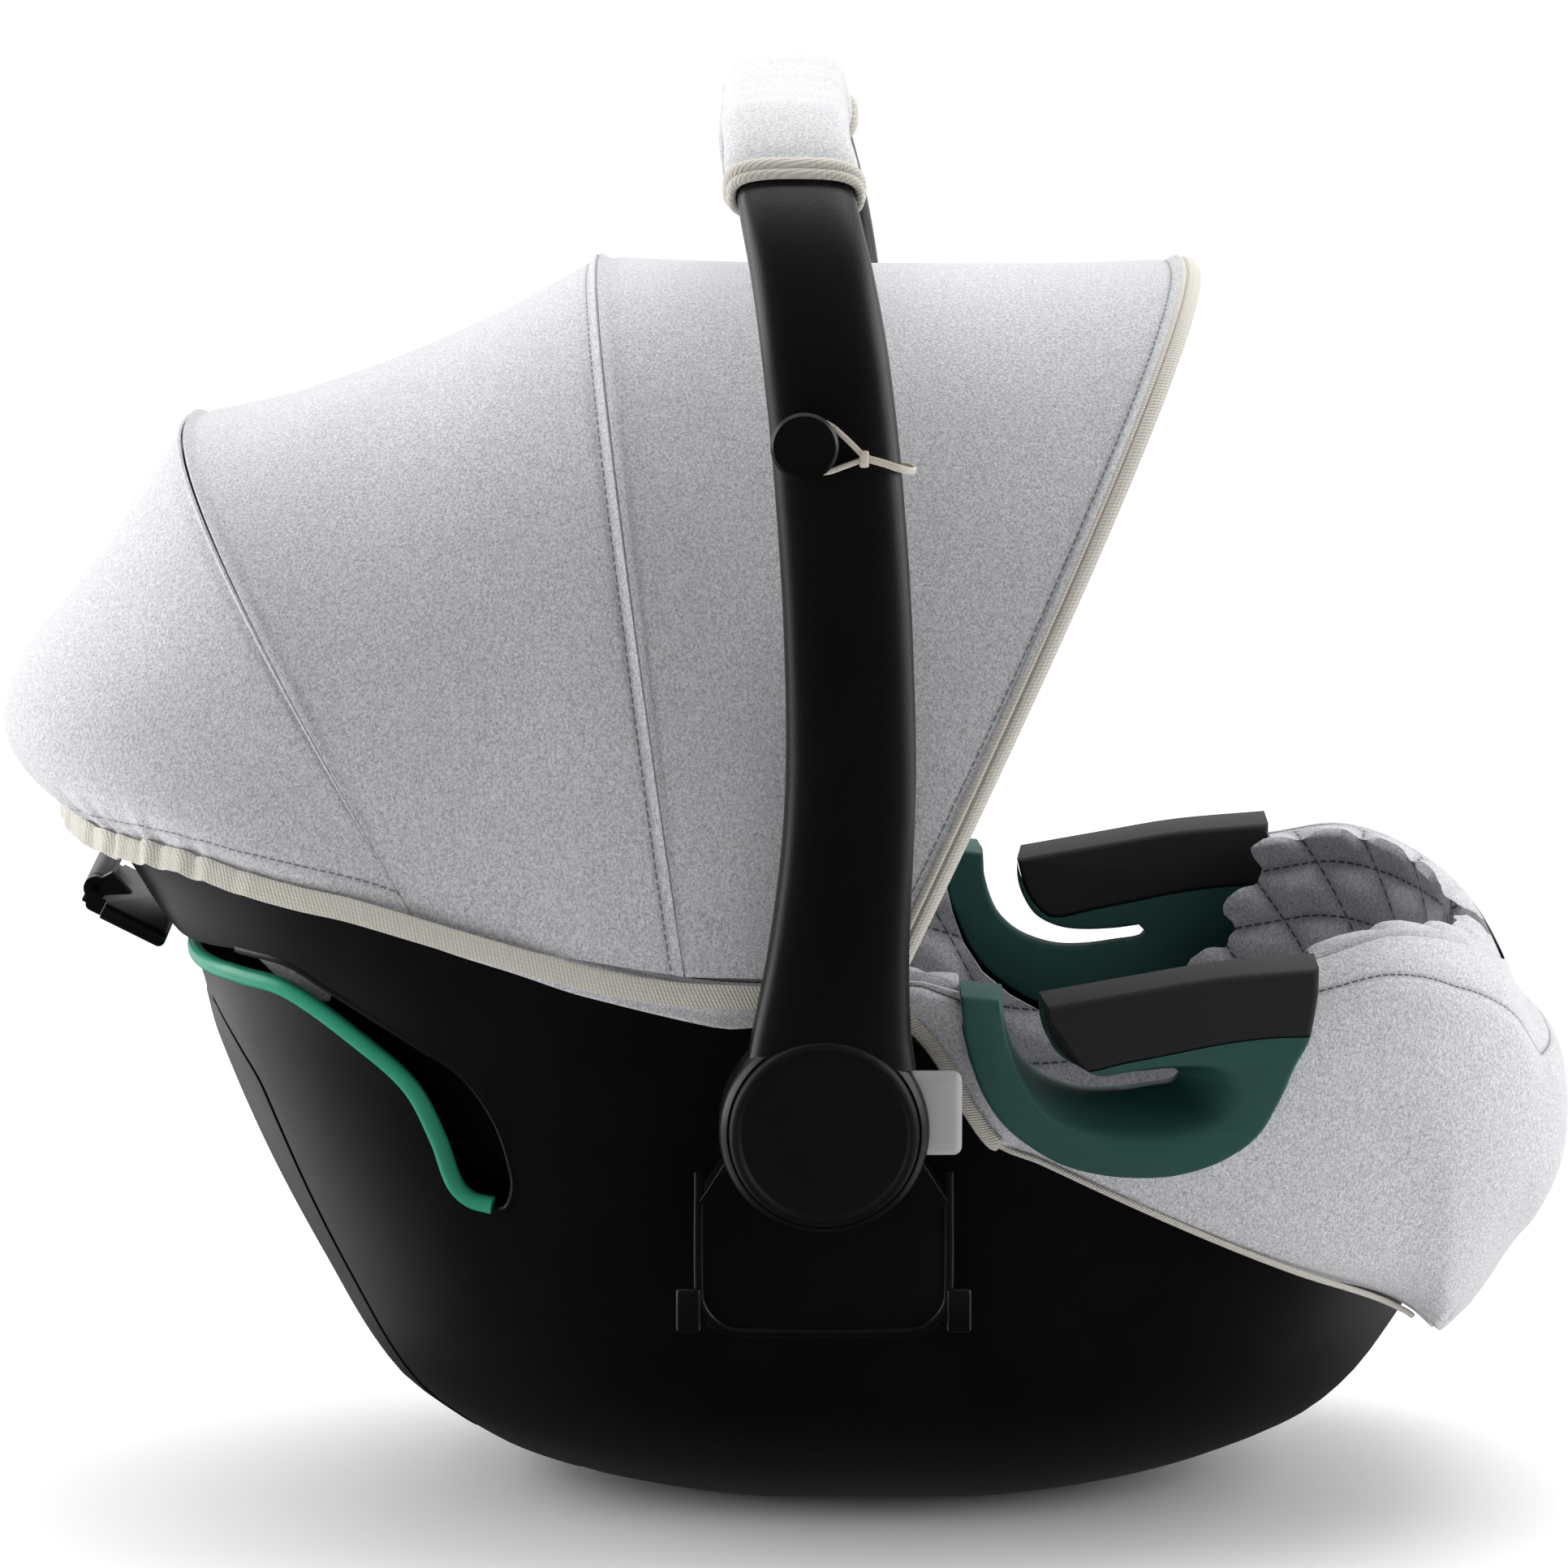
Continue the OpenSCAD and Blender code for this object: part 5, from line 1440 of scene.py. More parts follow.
@dataclass
class CarryHandle:
    """The handle: one moulded arch, its soft sleeve and the sleeve's rolled bindings."""

    arm: float = 203.5
    bend: float = 85.0
    bar: float = 577.0
    foot: float = 212.0
    middle: Line = field(default_factory=lambda: [
        (212, 18.5), (228, 19), (316, 26), (381, 25.5), (445, 21.5), (493, 16.5), (525, 11.5), (550, 6), (577, 0.5)])
    half: Line = field(default_factory=lambda: [
        (212, 34), (228, 31.5), (262, 28), (316, 26), (493, 25), (550, 23.5), (577, 22.5)])

    @property
    def rise(self) -> float:
        """The length of the straight arm."""
        return self.bar - self.bend - self.foot

    @property
    def turn(self) -> float:
        """The length of the bend."""
        return self.bend * math.pi / 2

    @property
    def end(self) -> float:
        """The length from the foot to the middle of the bar."""
        return self.rise + self.turn + self.arm - self.bend

    def centre(self, s: float) -> Point:
        """How far across and up the arch's middle is, and its turn, at a length s from the foot."""
        if s < self.rise:
            return self.arm, self.foot + s, 0.0
        if s < self.rise + self.turn:
            a = (s - self.rise) / self.bend
            return self.arm - self.bend * (1 - math.cos(a)), self.bar - self.bend * (1 - math.sin(a)), a
        return self.arm - self.bend - (s - self.rise - self.turn), self.bar, math.pi / 2

    def ring(self, s: float, grow: float, sides: int = 64, n: float = 3) -> list[Point]:
        """The arch's outline at a length s from its foot.

        Args:
            s: The length from the foot, past the middle for the other side.
            grow: How far it lies outside the arch.
            sides: Points round it.
            n: How square it is.

        Returns:
            The points.
        """
        over = s > self.end
        y, z, a = self.centre(2 * self.end - s if over else s)
        half_x = curve(self.half, z) + grow
        half_t = lerp(12.5, 10, smooth((z - 480) / 90)) + grow
        out = []
        for t in (2 * math.pi * k / sides for k in range(sides)):
            u, w = half_x * power(math.cos(t), n), half_t * power(math.sin(t), n)
            out.append((curve(self.middle, z) + u, (y + w * math.cos(a)) * (-1 if over else 1), z + w * math.sin(a)))
        return out

    def skin(self, name: str, stops: np.ndarray, grow: np.ndarray | float, sides: int = 64, closed: bool = False) -> bpy.types.Object:
        """A skin along the arch.

        Args:
            name: The piece's name.
            stops: Lengths along the arch.
            grow: How far outside it lies, at each stop.
            sides: Points round it.
            closed: Joins the last ring to the first.

        Returns:
            The new object.
        """
        grows = np.broadcast_to(grow, np.shape(stops))
        rows = [self.ring(s, g, sides) for s, g in zip(stops, grows)]
        flat = np.zeros((len(rows) + 1, sides + 1, 2))
        flat[:-1, :, 0] = np.array(stops)[:, None]
        flat[-1, :, 0] = flat[-2, :, 0]
        flat[:, :, 1] = np.linspace(0, 140, sides + 1)
        return loft(name, rows, True, closed, not closed, flat)

    def build(self) -> None:
        """Makes the arch, its sleeve and its bindings."""
        total = 2 * self.end
        place(self.skin("handle_arch", np.linspace(0, total, 240), 0.0), "handle", "handle_plastic", Finishes.HANDLE, "carry_handle")
        start = self.rise + 0.58 * self.turn
        stops = np.linspace(start, total - start, 130)
        soft = [3.0 + 0.5 * math.sin(s * 0.11) * math.sin(s * 0.037 + 1) for s in stops]
        ends = np.array([smooth((s - start) / 9) * smooth((total - start - s) / 9) for s in stops])
        outer = np.array(soft) * (0.8 + 0.2 * ends)
        sleeve = self.skin("sleeve", np.concatenate([stops, stops[::-3]]), np.concatenate([outer, np.full(len(stops[::-3]), 0.35)]), 64, True)
        place(shaded(sleeve, 60), "handle", "sleeve_fabric", Finishes.SLEEVE, "handle_sleeve")
        seam = [self.ring(s, 3.1)[32] for s in np.linspace(start + 4, total - start - 4, 120)]
        place(swept("sleeve_seam", seam, oval(0.5, 1.3, 8), (1, 0, 0)), "handle", "sleeve_fabric", Finishes.SLEEVE)
        rolls = []
        for middle in (0.58, 0.552):
            s = self.rise + middle * self.turn
            radius = 3.0 if middle == 0.58 else 2.3
            stops = [s + radius * math.cos(t) for t in turns(14)]
            grow = [radius * 0.92 + radius * 0.85 * math.sin(t) for t in turns(14)]
            one = self.skin("roll", np.array(stops), np.array(grow), 72, True)
            rolls += [one, mirrored(one, "roll_twin")]
        place(joined("sleeve_rolls", *rolls), "handle", "binding", Finishes.BINDING, "sleeve_bindings")


@dataclass
class Canopy:
    """The canopy: three sewn panels over bows, a gathered hem and a bound front edge."""

    order: float = 2.5
    cloth: float = 1.2
    width: float = 184.6
    rear_width: float = 178.0
    rear: tuple = ((-143, 258), (-250, 446))
    mid: tuple = ((-39, 240), (-78, 513))
    front: tuple = ((37, 238), (166, 512))
    bulge: Line = field(default_factory=lambda: [
        (0, 0), (0.19, 10), (0.39, 22), (0.58, 38), (0.71, 42), (0.82, 37), (0.91, 22), (1, 0)])
    edge: Line = field(default_factory=lambda: [
        (-300, 292), (-272, 291), (-250, 290), (-233, 287), (-218, 283), (-194, 277), (-174, 272), (-160, 267), (-143, 259)])
    band: Line = field(default_factory=lambda: [
        (-300, 290), (-272, 288.5), (-250, 288), (-233, 285), (-218, 281), (-194, 275.5), (-174, 271.5), (-145, 263),
        (-115, 254), (-75, 243), (-45, 238), (-17, 236.5), (24, 235)])
    across: int = 200

    def bow(self, place_: tuple, width: float, v: float, drop: float = 0) -> Point:
        """A point of a bow's line, from one foot (v = 0) over to the other (v = 1)."""
        (x0, z0), (x1, z1) = place_
        h = abs(math.sin(math.pi * v)) ** (2 / self.order)
        h *= 1 - drop / math.hypot(x1 - x0, z1 - z0)
        return lerp(x0, x1, h), width * power(math.cos(math.pi * v), self.order), lerp(z0, z1, h)

    def hem_line(self, v: float, out: float = 0) -> Point:
        """A point of the hem round the head end."""
        x = -143 - (154 + out) * abs(math.sin(math.pi * v)) ** (2 / 2.6)
        return x, (self.rear_width + 1 + out) * power(math.cos(math.pi * v), 2.6), curve(self.edge, x)

    def build(self) -> None:
        """Makes the panels, the bows, the hem and the bindings."""
        mid = self.panel("canopy_mid", self.rear, self.rear_width, self.mid, self.width, 10, 26)
        front = self.panel("canopy_front", self.mid, self.width, self.front, self.width, 3, 30)
        rear = self.rear_panel()
        vs = np.linspace(0, 1, 201)
        rear_seam = [self.bow(self.rear, self.rear_width, v) for v in vs]
        mid_seam = [self.bow(self.mid, self.width, v) for v in vs]
        front_seam = [self.bow(self.front, self.width, v) for v in vs]
        hem_seam = [self.hem_line(v) for v in vs]
        for obj, node, bodies, bows, (width, length, area) in (
            (mid, "canopy_mid_panel", ("shell", "canopy_mid"), ["rear_bow", "mid_bow"], self.cut(rear_seam, mid_seam)),
            (front, "canopy_front_panel", ("canopy_mid", "canopy_front"), ["mid_bow", "front_bow"],
             self.cut(mid_seam, front_seam)),
            (rear, "canopy_rear_panel", ("shell",), ["rear_bow"], self.cut(rear_seam, hem_seam, self.ease())),
        ):
            place(obj, bodies[0], "canopy_fabric", Finishes.CANOPY, node)
            if len(bodies) == 2:
                self.stretch(obj, *bodies)
            LOG.info("%s is cut to %.3f by %.3f m, %.4f square metres", node, width, length, area)
        self.bows()
        self.hem()
        self.binding()

    @staticmethod
    def cut(one: list[Point], two: list[Point], ease: float = 1.0) -> tuple[float, float, float]:
        """The flat piece of cloth that reaches from one seam to another, before it is sewn.

        It comes from the seams' lines alone, so the finished piece can be compared with it.

        Args:
            one: One seam, from foot to foot.
            two: The other seam, with as many points.
            ease: The cloth's width over the straight distance between the seams.

        Returns:
            Its greatest width and its length in metres, and its area in square metres.
        """
        first, second = np.array(one) * MM, np.array(two) * MM
        across = np.linalg.norm(second - first, axis=1) * ease
        along = np.linalg.norm(np.diff((first + second) / 2, axis=0), axis=1)
        area = float(((across[1:] + across[:-1]) / 2 * along).sum())
        return float(across.max()), float(along.sum()), area

    def ease(self) -> float:
        """How much longer the rear panel's bulged middle is than the straight line below it."""
        top, low = self.bow(self.rear, self.rear_width, 0.5), self.hem_line(0.5)
        straight = math.dist(top, low)
        profile = [(u * straight, out) for u, out in self.bulge]
        return sum(math.dist(p, q) for p, q in zip(profile, profile[1:])) / straight

    def stretch(self, obj: bpy.types.Object, first: str, second: str) -> None:
        """Reads the panel's share attribute, then takes the panel off its body and bakes its place into its mesh."""
        share = np.empty(len(obj.data.vertices))
        obj.data.attributes["share"].data.foreach_get("value", share)
        obj.parent = None
        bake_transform(obj)

    def panel(self, name: str, rear: tuple, rear_width: float, front: tuple, width: float, sag: float, rows: int) -> bpy.types.Object:
        """A panel of cloth between two bows.

        Args:
            name: The piece's name.
            rear: The bow behind.
            rear_width: That bow's half width.
            front: The bow in front.
            width: That bow's half width.
            sag: How far the cloth dips between them at the top.
            rows: Rows of faces between them.

        Returns:
            The panel.
        """
        us = sorted({*np.linspace(0.004, 0.996, rows), 0.012, 0.022, 0.036, 0.05, 0.95, 0.964, 0.978, 0.988})
        vs = np.linspace(0.002, 0.998, self.across)
        length = math.hypot(front[1][0] - rear[1][0], front[1][1] - rear[1][1])
        grid = np.zeros((len(us), len(vs), 3))
        share = np.zeros((len(us), len(vs)))
        for i, u in enumerate(us):
            edge = min(u, 1 - u) * length
            ridge = 1.5 * math.exp(-((edge / 3.2) ** 2)) - 0.9 * math.exp(-(((edge - 5) / 2.2) ** 2))
            for j, v in enumerate(vs):
                a, b = self.bow(rear, rear_width, v), self.bow(front, width, v)
                s = abs(math.sin(math.pi * v))
                h = s ** (2 / self.order)
                dip = sag * 4 * u * (1 - u) * h
                hollow = 0.9 * math.sin(7 * u + 9 * v) * math.sin(13 * v + 3 * u) * 4 * u * (1 - u)
                side = math.cos(math.pi * v)
                push = ridge * min(1, h * 2) + hollow * 0.6
                grid[i, j] = [lerp(a[0], b[0], u), lerp(a[1], b[1], u) + push * side, lerp(a[2], b[2], u) - dip + push * s]
                share[i, j] = u * smooth((h - 0.02) / 0.3)
        return self.sewn(name, grid, share)

    def sewn(self, name: str, grid: np.ndarray, share: np.ndarray | None = None, seam: float = 0.0) -> bpy.types.Object:
        """Turns rows of points into a sheet with a flat map that starts at its front or lower seam."""
        step = np.linalg.norm(np.diff(grid, axis=0), axis=2)
        down = np.vstack([np.zeros(grid.shape[1]), np.cumsum(step, axis=0)])
        near = down[-1][None, :] - down - seam
        along = np.concatenate([[0], np.cumsum(np.linalg.norm(np.diff(grid[len(grid) // 2], axis=0), axis=1))])
        uv = np.stack([np.broadcast_to(along, near.shape), near], axis=2)
        obj = loft(name, list(grid), False, uv=uv, outward=False)
        co = np.empty(len(obj.data.vertices) * 3)
        normals = np.empty(len(obj.data.polygons) * 3)
        centres = np.empty(len(obj.data.polygons) * 3)
        obj.data.polygons.foreach_get("normal", normals)
        obj.data.polygons.foreach_get("center", centres)
        out = centres.reshape(-1, 3) - np.array([-0.06, 0, 0.2])
        if (normals.reshape(-1, 3) * out).sum() < 0:
            obj.data.flip_normals()
        if share is not None:
            layer = obj.data.attributes.new("share", "FLOAT", "POINT")
            layer.data.foreach_set("value", share.ravel().astype(np.float32))
        finish_with(obj, "SOLIDIFY", thickness=self.cloth * MM, offset=-1)
        return shaded(obj, 70)

    def rear_panel(self) -> bpy.types.Object:
        """The panel over the head end, which bulges out and gathers into the hem."""
        us = sorted({*np.linspace(0.004, 1, 46), 0.01, 0.018, 0.03, 0.985})
        vs = np.linspace(0.002, 0.998, self.across * 2)
        grid = np.zeros((len(us), len(vs), 3))
        for i, u in enumerate(us):
            edge = u * 190
            ridge = 1.5 * math.exp(-((edge / 3.2) ** 2)) - 0.9 * math.exp(-(((edge - 5) / 2.2) ** 2))
            for j, v in enumerate(vs):
                a, b, s = self.bow(self.rear, self.rear_width, v), self.hem_line(v), abs(math.sin(math.pi * v))
                c = math.cos(math.pi * v)
                g = curve(self.bulge, u) * s**1.2
                gather = smooth((u - 0.8) / 0.2) * smooth((s - 0.25) / 0.4) * (
                    1.5 * math.sin(52 * math.pi * v + 1.3 * math.sin(9 * v)) + 0.8 * math.sin(91 * math.pi * v)
                )
                soft = 1.2 * math.sin(6 * u + 3 * math.sin(8 * v)) * math.sin(11 * v) * math.sin(math.pi * u)
                push = ridge * min(1.0, s * 2) + gather + soft * s
                grid[i, j] = [
                    lerp(a[0], b[0], u) - (g + push) * s, lerp(a[1], b[1], u) + (g * 0.55 + push) * c, lerp(a[2], b[2], u) + push * 0.2 * (1 - u)
                ]
        return self.sewn("canopy_rear", grid, seam=7.5)

    def bows(self) -> None:
        """The thin rods under the cloth, and the pivots that they turn on."""
        inner = 4.35
        for name, place_, width, foot, body in (
            ("rear_bow", self.rear, self.rear_width, False, "shell"),
            ("mid_bow", self.mid, self.width, True, "canopy_mid"),
            ("front_bow", self.front, self.width, True, "canopy_front"),
        ):
            path = []
            for v in np.linspace(0, 1, 120):
                x, y, z = self.bow(place_, width - inner, v, inner)
                t = smooth(abs(math.sin(math.pi * v)) ** (2 / self.order) / 0.3) if foot else 1
                base = 14 + (-7 if place_[0][0] < 14 else 7)
                path.append((lerp(base, x, t), y, lerp(245, z, t)))
            place(swept(name + "_rod", path, oval(2.2, 2.2, 10), (1, 0, 0)), body, "bow_plastic", Finishes.BOW, name)
        for node in ("mid_bow_ends", "front_bow_ends", "canopy_pivots"):
            dress(node, Finishes.BOW)

    def hem(self) -> None:
        """The cream band round the canopy's foot, wavy where the cloth is gathered."""
        left = []
        for x in np.arange(24, -131, -4.0):
            t = (24 - x) / 167
            left.append((x, lerp(self.width + 0.8, self.rear_width + 4.4, t), curve(self.band, x)))
        rear = []
        for v in np.linspace(0.02, 0.98, 260):
            x, y, _ = self.hem_line(v, 3.4)
            s = smooth((abs(math.sin(math.pi * v)) - 0.25) / 0.4)
            wave = s * (1.1 * math.sin(52 * math.pi * v + 1.3 * math.sin(9 * v)) + 0.6 * math.sin(91 * math.pi * v))
            rear.append((x - wave * math.sin(math.pi * v), y + wave * math.cos(math.pi * v), curve(self.band, x) + 0.8 * wave))
        path = left + rear + [(x, -y, z) for x, y, z in left[::-1]]
        band = [(-0.6, -4.6), (0.7, -4.9), (1.1, -3.4), (0.9, 0), (1.1, 3.4), (0.7, 4.9), (-0.6, 4.6), (-0.5, 0)]
        obj = swept("canopy_hem_band", path, [(s, t) for s, t in band], (0, 0, 1))
        place(shaded(obj, 60), "shell", "binding", Finishes.BINDING, "canopy_hem")

    def binding(self) -> None:
        """The folded binding on the front edge."""
        vs = np.concatenate([np.linspace(0.003, 0.05, 12), np.linspace(0.06, 0.94, 150), np.linspace(0.95, 0.997, 12)])
        path = [self.bow(self.front, self.width - 0.9, v, 0.9) for v in vs]
        path = [(x + 2.4, y, z) for x, y, z in path]
        section = [(3.6, -1.3), (3.9, 0.4), (3.2, 1.9), (2.2, 2.3), (1.2, 1.9), (0.75, 0.9), (0.3, 1.5), (-0.8, 1.75),
                   (-2.6, 1.2), (-4.2, 0.2), (-5.0, -0.9), (-4.6, -2.0), (-3.2, -2.2), (0, -1.6)]
        obj = swept("front_binding", path, section, [(0, math.cos(math.pi * v), math.sin(math.pi * v)) for v in vs])
        place(obj, "canopy_front", "binding", Finishes.BINDING, "canopy_front_binding")


@dataclass
class Headrest:
    """The headrest, which slides along the back: a thin shell and a stuffed wing pad."""

    origin: Point = (-139, 0, 189)
    tilt: float = 27.7
    half: float = 92.0

    @staticmethod
    def wing(w: float, d: float, steps: int = 40) -> list[tuple[float, float]]:
        """The section of the wings, (across, up)."""
        return [(w * power(math.cos(t), 4), 62 + (62 + d) * power(math.sin(t), 4)) for t in np.linspace(math.pi, 2 * math.pi, steps)]

    def piece(self, name: str, outer: list, inner: list, x0: float, x1: float) -> bpy.types.Object:
        """A length of a wing section."""
        outline = outer + inner[::-1]
        n = len(outline)
        verts = [(x, y, z) for x in (x0, x1) for y, z in outline]
        half = len(outer)
        faces = [(j, (j + 1) % n, n + (j + 1) % n, n + j) for j in range(n)]
        for j in range(half - 1):
            a, b, c, d = j, j + 1, n - 2 - j, n - 1 - j
            faces += [(a, d, c, b), (n + a, n + b, n + c, n + d)]
        return tidy(new_object(name, verts, faces))

    def build(self) -> None:
        """Makes the shell and the pad."""
        shell = self.piece("headrest_shell", self.wing(92, 0), self.wing(88.4, -3.6), -50, 54)
        rounded(shell, 1.2, 3, 60)
        tilt_object(shell, self.origin, self.tilt)
        place(shell, "headrest", "shell_plastic", Finishes.TUB, "headrest_shell")
        pad = self.piece("headrest_pad", self.wing(86.6, -5.4), self.wing(69, -17), -49, 53)
        tilt_object(pad, self.origin, self.tilt)
        pad = inflated(pad, 4.5, 4.0, 5.0)
        place(pad, "headrest", "pad_fabric", Finishes.PAD, "headrest_pad")


@dataclass
class Harness:
    """The insert, the straps with their pads, the buckle and the adjuster."""

    buckle: Point = (118, 0, 116)
    buckle_tilt: float = -28.0

    def build(self) -> None:
        """Makes the harness."""
        self.insert()
        self.straps()
        self.buckle_parts()
        self.adjuster()

    def insert(self) -> None:
        """The newborn insert, a soft pad with a sewn hollow."""
        angles = turns(72)

        def at(f: float, up: float) -> list[Point]:
            """A ring of the insert."""
            row = []
            for a in angles:
                x, y = -10 + 93 * power(math.cos(a), 3) * f, 105 * power(math.sin(a), 3) * f
                row.append((x, y, Form.hollow_z(x, y) + up))
            return row

        rows = [at(f, 1.2) for f in (0.04, 0.3, 0.6, 0.85, 0.97)] + [at(1, 3), at(1, 6.5)]
        rows += [at(f, u) for f, u in ((0.96, 9), (0.85, 11.5), (0.6, 11.5), (0.3, 11.5), (0.04, 11.5))]
        pad = inflated(loft("insert", rows, capped=True), 5.0, 4.0, 5.0)
        co = np.empty(len(pad.data.vertices) * 3)
        pad.data.vertices.foreach_get("co", co)
        p = co.reshape(-1, 3)
        normals = np.empty(len(co))
        pad.data.vertices.foreach_get("normal", normals)
        up = normals.reshape(-1, 3)[:, 2] > 0.2
        x, y = (p[:, 0] / MM + 10) / 93, p[:, 1] / MM / 105
        r = (np.abs(x) ** 3 + np.abs(y) ** 3) ** (1 / 3)
        groove = np.exp(-(((r - 0.68) * 93 / 3.2) ** 2)) + 0.8 * np.exp(-((p[:, 1] / MM / 3.0) ** 2)) * (r < 0.68)
        p[:, 2] -= np.where(up, groove * 3.0 * MM, 0)
        pad.data.vertices.foreach_set("co", p.ravel())
        place(pad, "shell", "insert_fabric", Finishes.INSERT, "infant_insert")

    def straps(self) -> None:
        """The shoulder straps with their stuffed pads, and the strap between the legs."""
        line = [(68, 146, 7), (48, 155, 12), (20, 164, 22), (-20, 174, 34), (-60, 187, 42), (-80, 196, 45), (-92, 202, 46)]
        for side in Side:
            s = side.value
            path = rounded_path([(x, y * s, z) for x, z, y in line], 3)
            strap = swept("strap_" + side.word, path, oval(12.3, 0.75, 16, 8), (0.25, 0, 1))
            place(strap, "shell", "webbing", Finishes.WEBBING, f"shoulder_strap_{side.word}")
            pads = []
            for layer in (1, -1):
                rows = []
                for x, z, y in rounded_path([(-71, 194, 43), (-44, 184.5, 38.5), (-16, 176, 32.5), (9, 168.5, 25)], 6):
                    q = [(-18, 1.3), (18, 1.3), (17.5, 3.4), (13, 4.9), (0, 5.6), (-13, 4.9), (-17.5, 3.4)]
                    rows.append([(x, s * (y + a), z + layer * b) for a, b in q])
                pads.append(inflated(loft("pad", rows, capped=True), 3.0, 2.0, 1.0))
            both = joined(f"shoulder_cushion_{side.word}", *pads)
            place(both, "shell", "pad_fabric", Finishes.PAD, f"shoulder_pad_{side.word}")
        pad = block("crotch", (-23, -23.5, -9.3), (37, 23.5, -3.9), 2.6, 5)
        tilt_object(pad, self.buckle, self.buckle_tilt)
        place(pad, "shell", "pad_fabric", Finishes.PAD, "crotch_pad")
        dress("crotch_strap", Finishes.WEBBING)

    def buckle_parts(self) -> None:
        """The buckle's housing with its waist, the red button in its pocket, and the tongues."""
        body = block("buckle", (-24, -19, -3), (26, 19, 14), 4.2, 6)
        co = np.empty(len(body.data.vertices) * 3)
        body.data.vertices.foreach_get("co", co)
        p = co.reshape(-1, 3)
        p[:, 1] *= 1 - 0.10 * np.exp(-(((p[:, 0] / MM + 4) / 12) ** 2))
        body.data.vertices.foreach_set("co", p.ravel())
        cut(body, block("pocket", (-2, -10, 4.6), (20, 10, 18), 1.6, 3))
        cut(body, block("mouth", (-30, -14, 2.6), (-6, 14, 6.4), 0.8, 2))
        rounded(body, 0.5, 2, 50)
        tilt_object(body, self.buckle, self.buckle_tilt)
        place(body, "shell", "buckle_plastic", Finishes.BUCKLE, "buckle_body")
        key = block("key", (-1.7, -9.7, 8), (21.4 - 1.7, 9.7, 15.5), 1.6, 4)
        cut(key, block("dish", (2, -7, 14.7), (16, 7, 18), 1.2, 3))
        tilt_object(shaded(key, 40), self.buckle, self.buckle_tilt)
        place(key, "buckle_release", "release_red", Finishes.RED, "buckle_button")
        dress("buckle_tongues", Finishes.TONGUE)

    def adjuster(self) -> None:
        """The strap adjuster at the foot end, with its grey key."""
        origin = (224, 0, curve(Form.FLOOR, 224))
        body = block("adjuster", (-26, -20, 1), (26, 20, 8), 2.6, 5)
        cut(body, block("well", (-14.3, -11.3, 3), (14.3, 11.3, 12), 1.2, 3))
        tilt_object(rounded(body, 0.4, 2, 50), origin, -32)
        place(body, "shell", "adjuster_plastic", Finishes.ADJUSTER, "adjuster_housing")
        key = block("adjuster_key", (-14, -11, 6.5), (14, 11, 11), 1.4, 4)
        ribs = [block("rib", (x, -8, 10.4), (x + 1.4, 8, 11.5), 0.5, 2) for x in (-8, -3, 2, 7)]
        tilt_object(joined("adjuster_key", key, *ribs), origin, -32)
        place(only(key), "strap_release", "adjuster_plastic", Finishes.ADJUSTER_KEY, "adjuster_button")


@dataclass
class ReleaseLever:
    """The lever under the rim at the head end, on its pin and bracket."""

    origin: Point = (-287, 0, 255.5)
    tilt: float = 27.0

    def build(self) -> None:
        """Makes the lever and dresses its bracket and pin."""
        bar = block("lever", (-1, -48, -11), (36, 48, -4), 2.8, 5)
        barrel = turned("barrel", (0, 0, 0), [(4.4, -40), (5, -39), (5, 39), (4.4, 40)], 48)
        web = block("web", (-3, -40, -9), (4, 40, -1), 0.8, 2)
        finger = block("finger", (6, -38, -12.5), (26, 38, -9.8), 2.2, 4)
        for part in (barrel, web):
            finish_with(bar, "BOOLEAN", object=part, solver="EXACT", operation="UNION")
            bpy.data.objects.remove(part)
        cut(bar, turned("pin_bore", (0, 0, 0), [(2.05, -60), (2.05, 60)], 32))
        cut(bar, finger)
        for y in (-48.5, 40.3):
            cut(bar, block("gap", (-8, y, -12), (7, y + 8.2, 9), 0.5, 1))
        tilt_object(shaded(bar, 40), self.origin, self.tilt)
        place(bar, "lever", "lever_plastic", Finishes.LEVER, "release_lever")
        dress("lever_bracket", Finishes.SHELL)
        dress("lever_pin", Finishes.PIN)


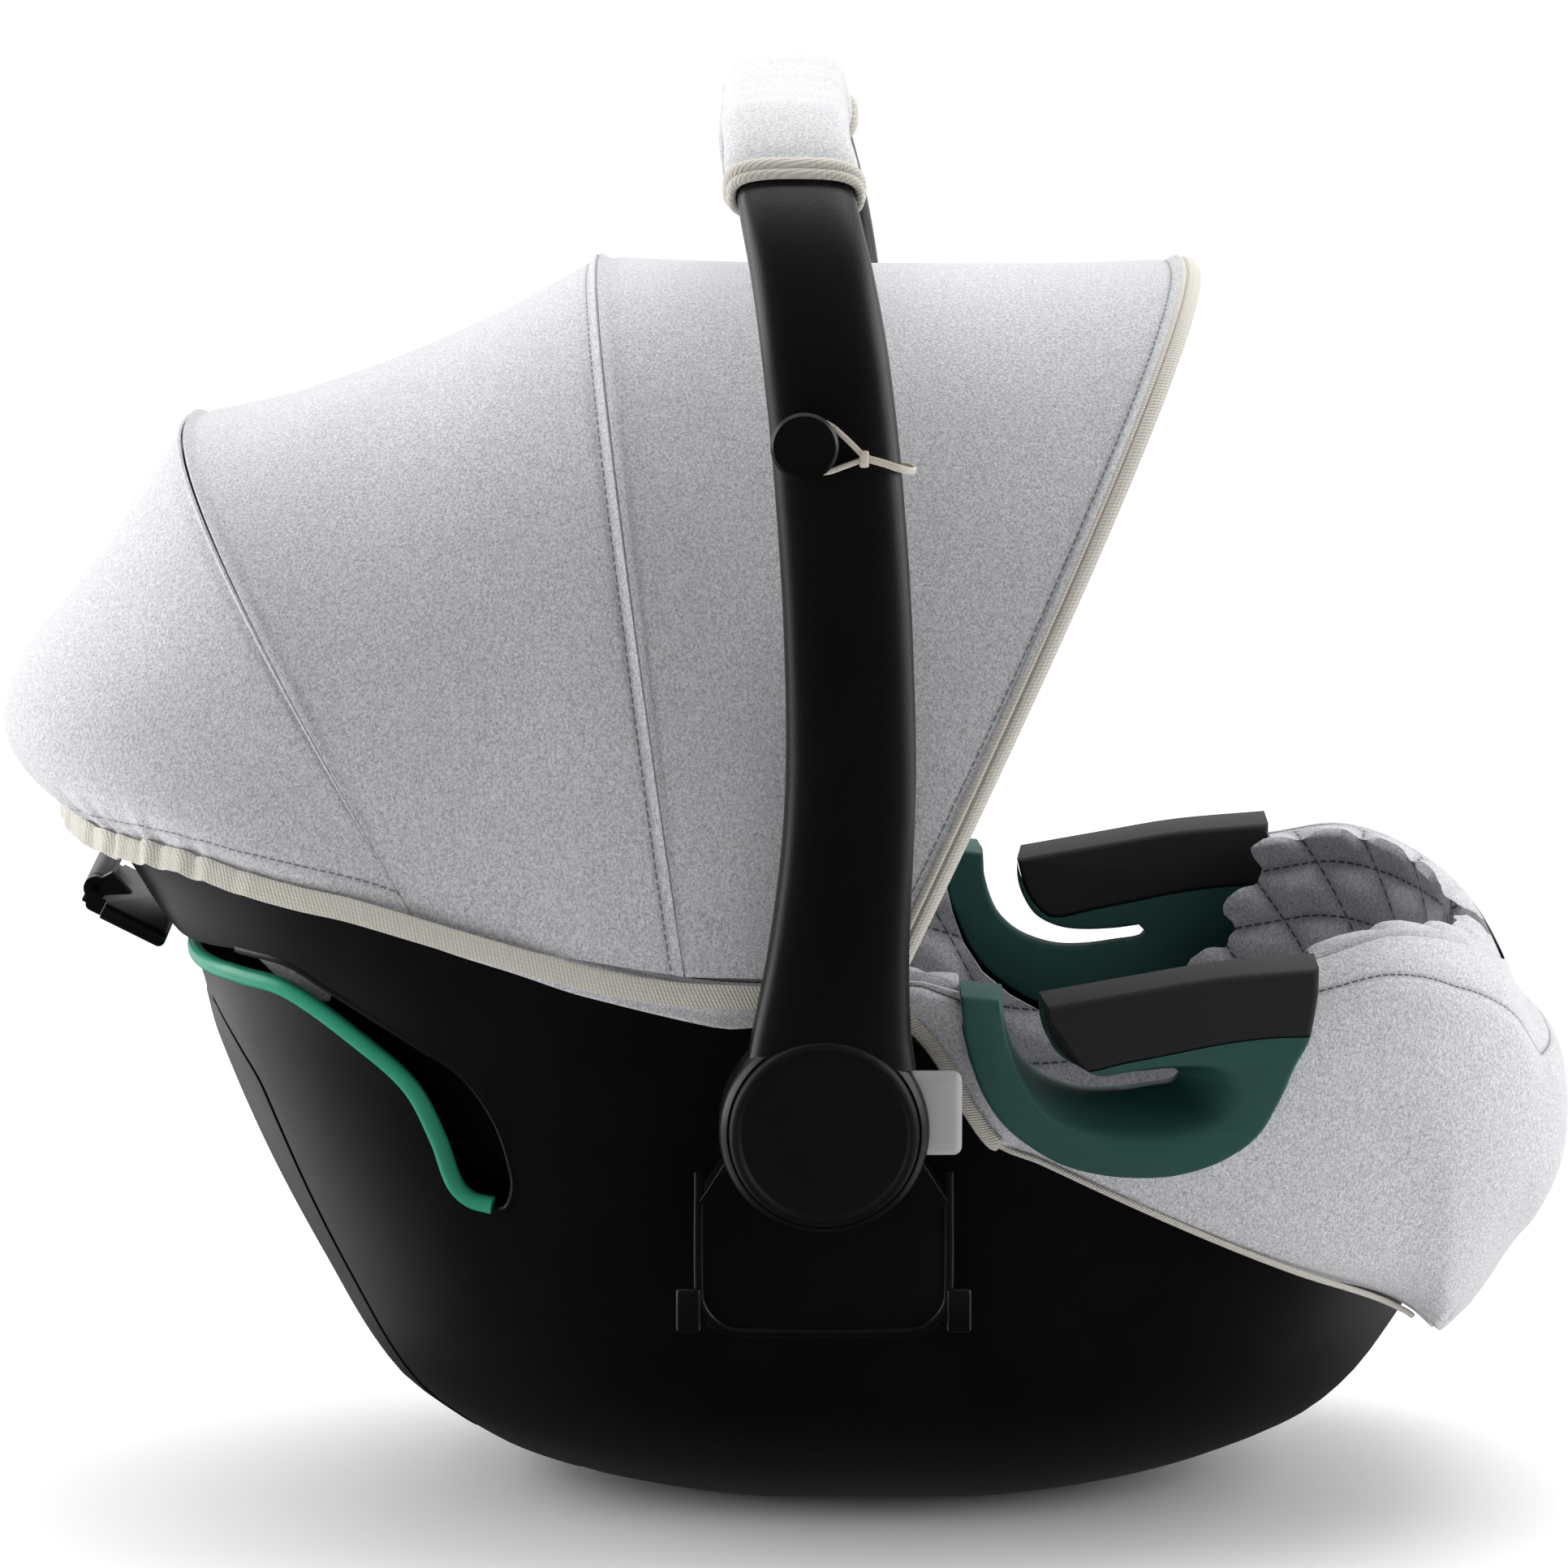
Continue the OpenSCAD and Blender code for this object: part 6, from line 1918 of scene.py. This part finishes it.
@dataclass
class Studio:
    """The pale floor, the soft lights, the bright surround and the camera."""

    elevation: float = 9.74
    lens: float = 180.0
    distance: float = 3.308
    aim: Point = (0.0, 0.0, 0.2914)

    def build(self) -> None:
        """Sets up the stage."""
        self.camera()
        self.floor()
        self.lights()

    def camera(self) -> None:
        """The camera, level with the seat's side and a little above it."""
        data = bpy.data.cameras.new("camera")
        data.lens, data.sensor_width = self.lens, 36.0
        cam = bpy.data.objects.new("camera", data)
        bpy.context.scene.collection.objects.link(cam)
        e = math.radians(self.elevation)
        cam.location = Vector(self.aim) + self.distance * Vector((0, -math.cos(e), math.sin(e)))
        cam.rotation_euler = (math.radians(90 - self.elevation), 0, 0)
        bpy.context.scene.camera = cam

    def floor(self) -> None:
        """A wide plain floor."""
        for other in bpy.context.selected_objects:
            other.select_set(False)
        bpy.ops.mesh.primitive_plane_add(size=4.6, location=(0, 0, 0))
        floor = bpy.context.object
        floor.name = "floor"
        m = bpy.data.materials.new("floor_white")
        m.use_nodes = True
        shader = m.node_tree.nodes["Principled BSDF"]
        shader.inputs["Base Color"].default_value = (0.95, 0.95, 0.95, 1)
        shader.inputs["Roughness"].default_value = 0.9
        floor.data.materials.append(m)
        floor.visible_glossy = False

    def lights(self) -> None:
        """Large soft panels from the head, the foot, and above and behind, and a surround that is bright behind and dim
        in front.
        """
        scene = bpy.context.scene
        scene.view_settings.view_transform = "Standard"
        world = bpy.data.worlds.new("surround")
        world.use_nodes = True
        w = Wiring(world.node_tree)
        way = w.node("ShaderNodeSeparateXYZ", {0: w.node("ShaderNodeTexCoord").outputs["Generated"]})
        sky = world.node_tree.nodes["Background"]
        sky.inputs[0].default_value = (1, 1, 1, 1)
        behind = w.ramp(way.outputs[1], -0.45, 0.15, 0.10, 1.15)
        beside = w.math("ADD", w.math("ABSOLUTE", way.outputs[0]), way.outputs[2])
        lit = w.math("MULTIPLY", behind, w.ramp(beside, -0.1, 0.25, 0.05, 1.0))
        seen = w.node("ShaderNodeLightPath").outputs["Is Camera Ray"]
        w.tree.links.new(w.math("MAXIMUM", lit, w.math("MULTIPLY", seen, 1.15)), sky.inputs[1])
        scene.world = world
        for name, at, size, power_ in (
            ("head_panel", (-2.2, 0.1, 0.9), (2.4, 1.8), 46),
            ("foot_panel", (2.2, -0.3, 1.0), (2.4, 1.6), 38),
            ("top_panel", (0.0, 0.6, 2.4), (3.0, 2.0), 44),
        ):
            data = bpy.data.lights.new(name, "AREA")
            data.shape, data.size, data.size_y, data.energy = "RECTANGLE", size[0], size[1], power_
            lamp = bpy.data.objects.new(name, data)
            scene.collection.objects.link(lamp)
            lamp.location = at
            lamp.rotation_euler = (Vector((0, 0, 0.25)) - Vector(at)).to_track_quat("-Z", "Y").to_euler()


def main() -> None:
    """Builds the seat piece by piece, and the studio round it."""
    logging.basicConfig(level=logging.INFO, format="%(name)s: %(message)s")
    groups = [Studio(), RockerShell(), SeatCover(), *(BeltHook(side) for side in Side), *(HubSide(side) for side in Side),
              CarryHandle(), Canopy(), Headrest(), Harness(), ReleaseLever()]
    for group in groups:
        before = set(bpy.data.objects)
        group.build()
        made = sorted(o.name for o in set(bpy.data.objects) - before)
        LOG.info("%s: %s", type(group).__name__, ", ".join(made))


if __name__ == "__main__":
    main()
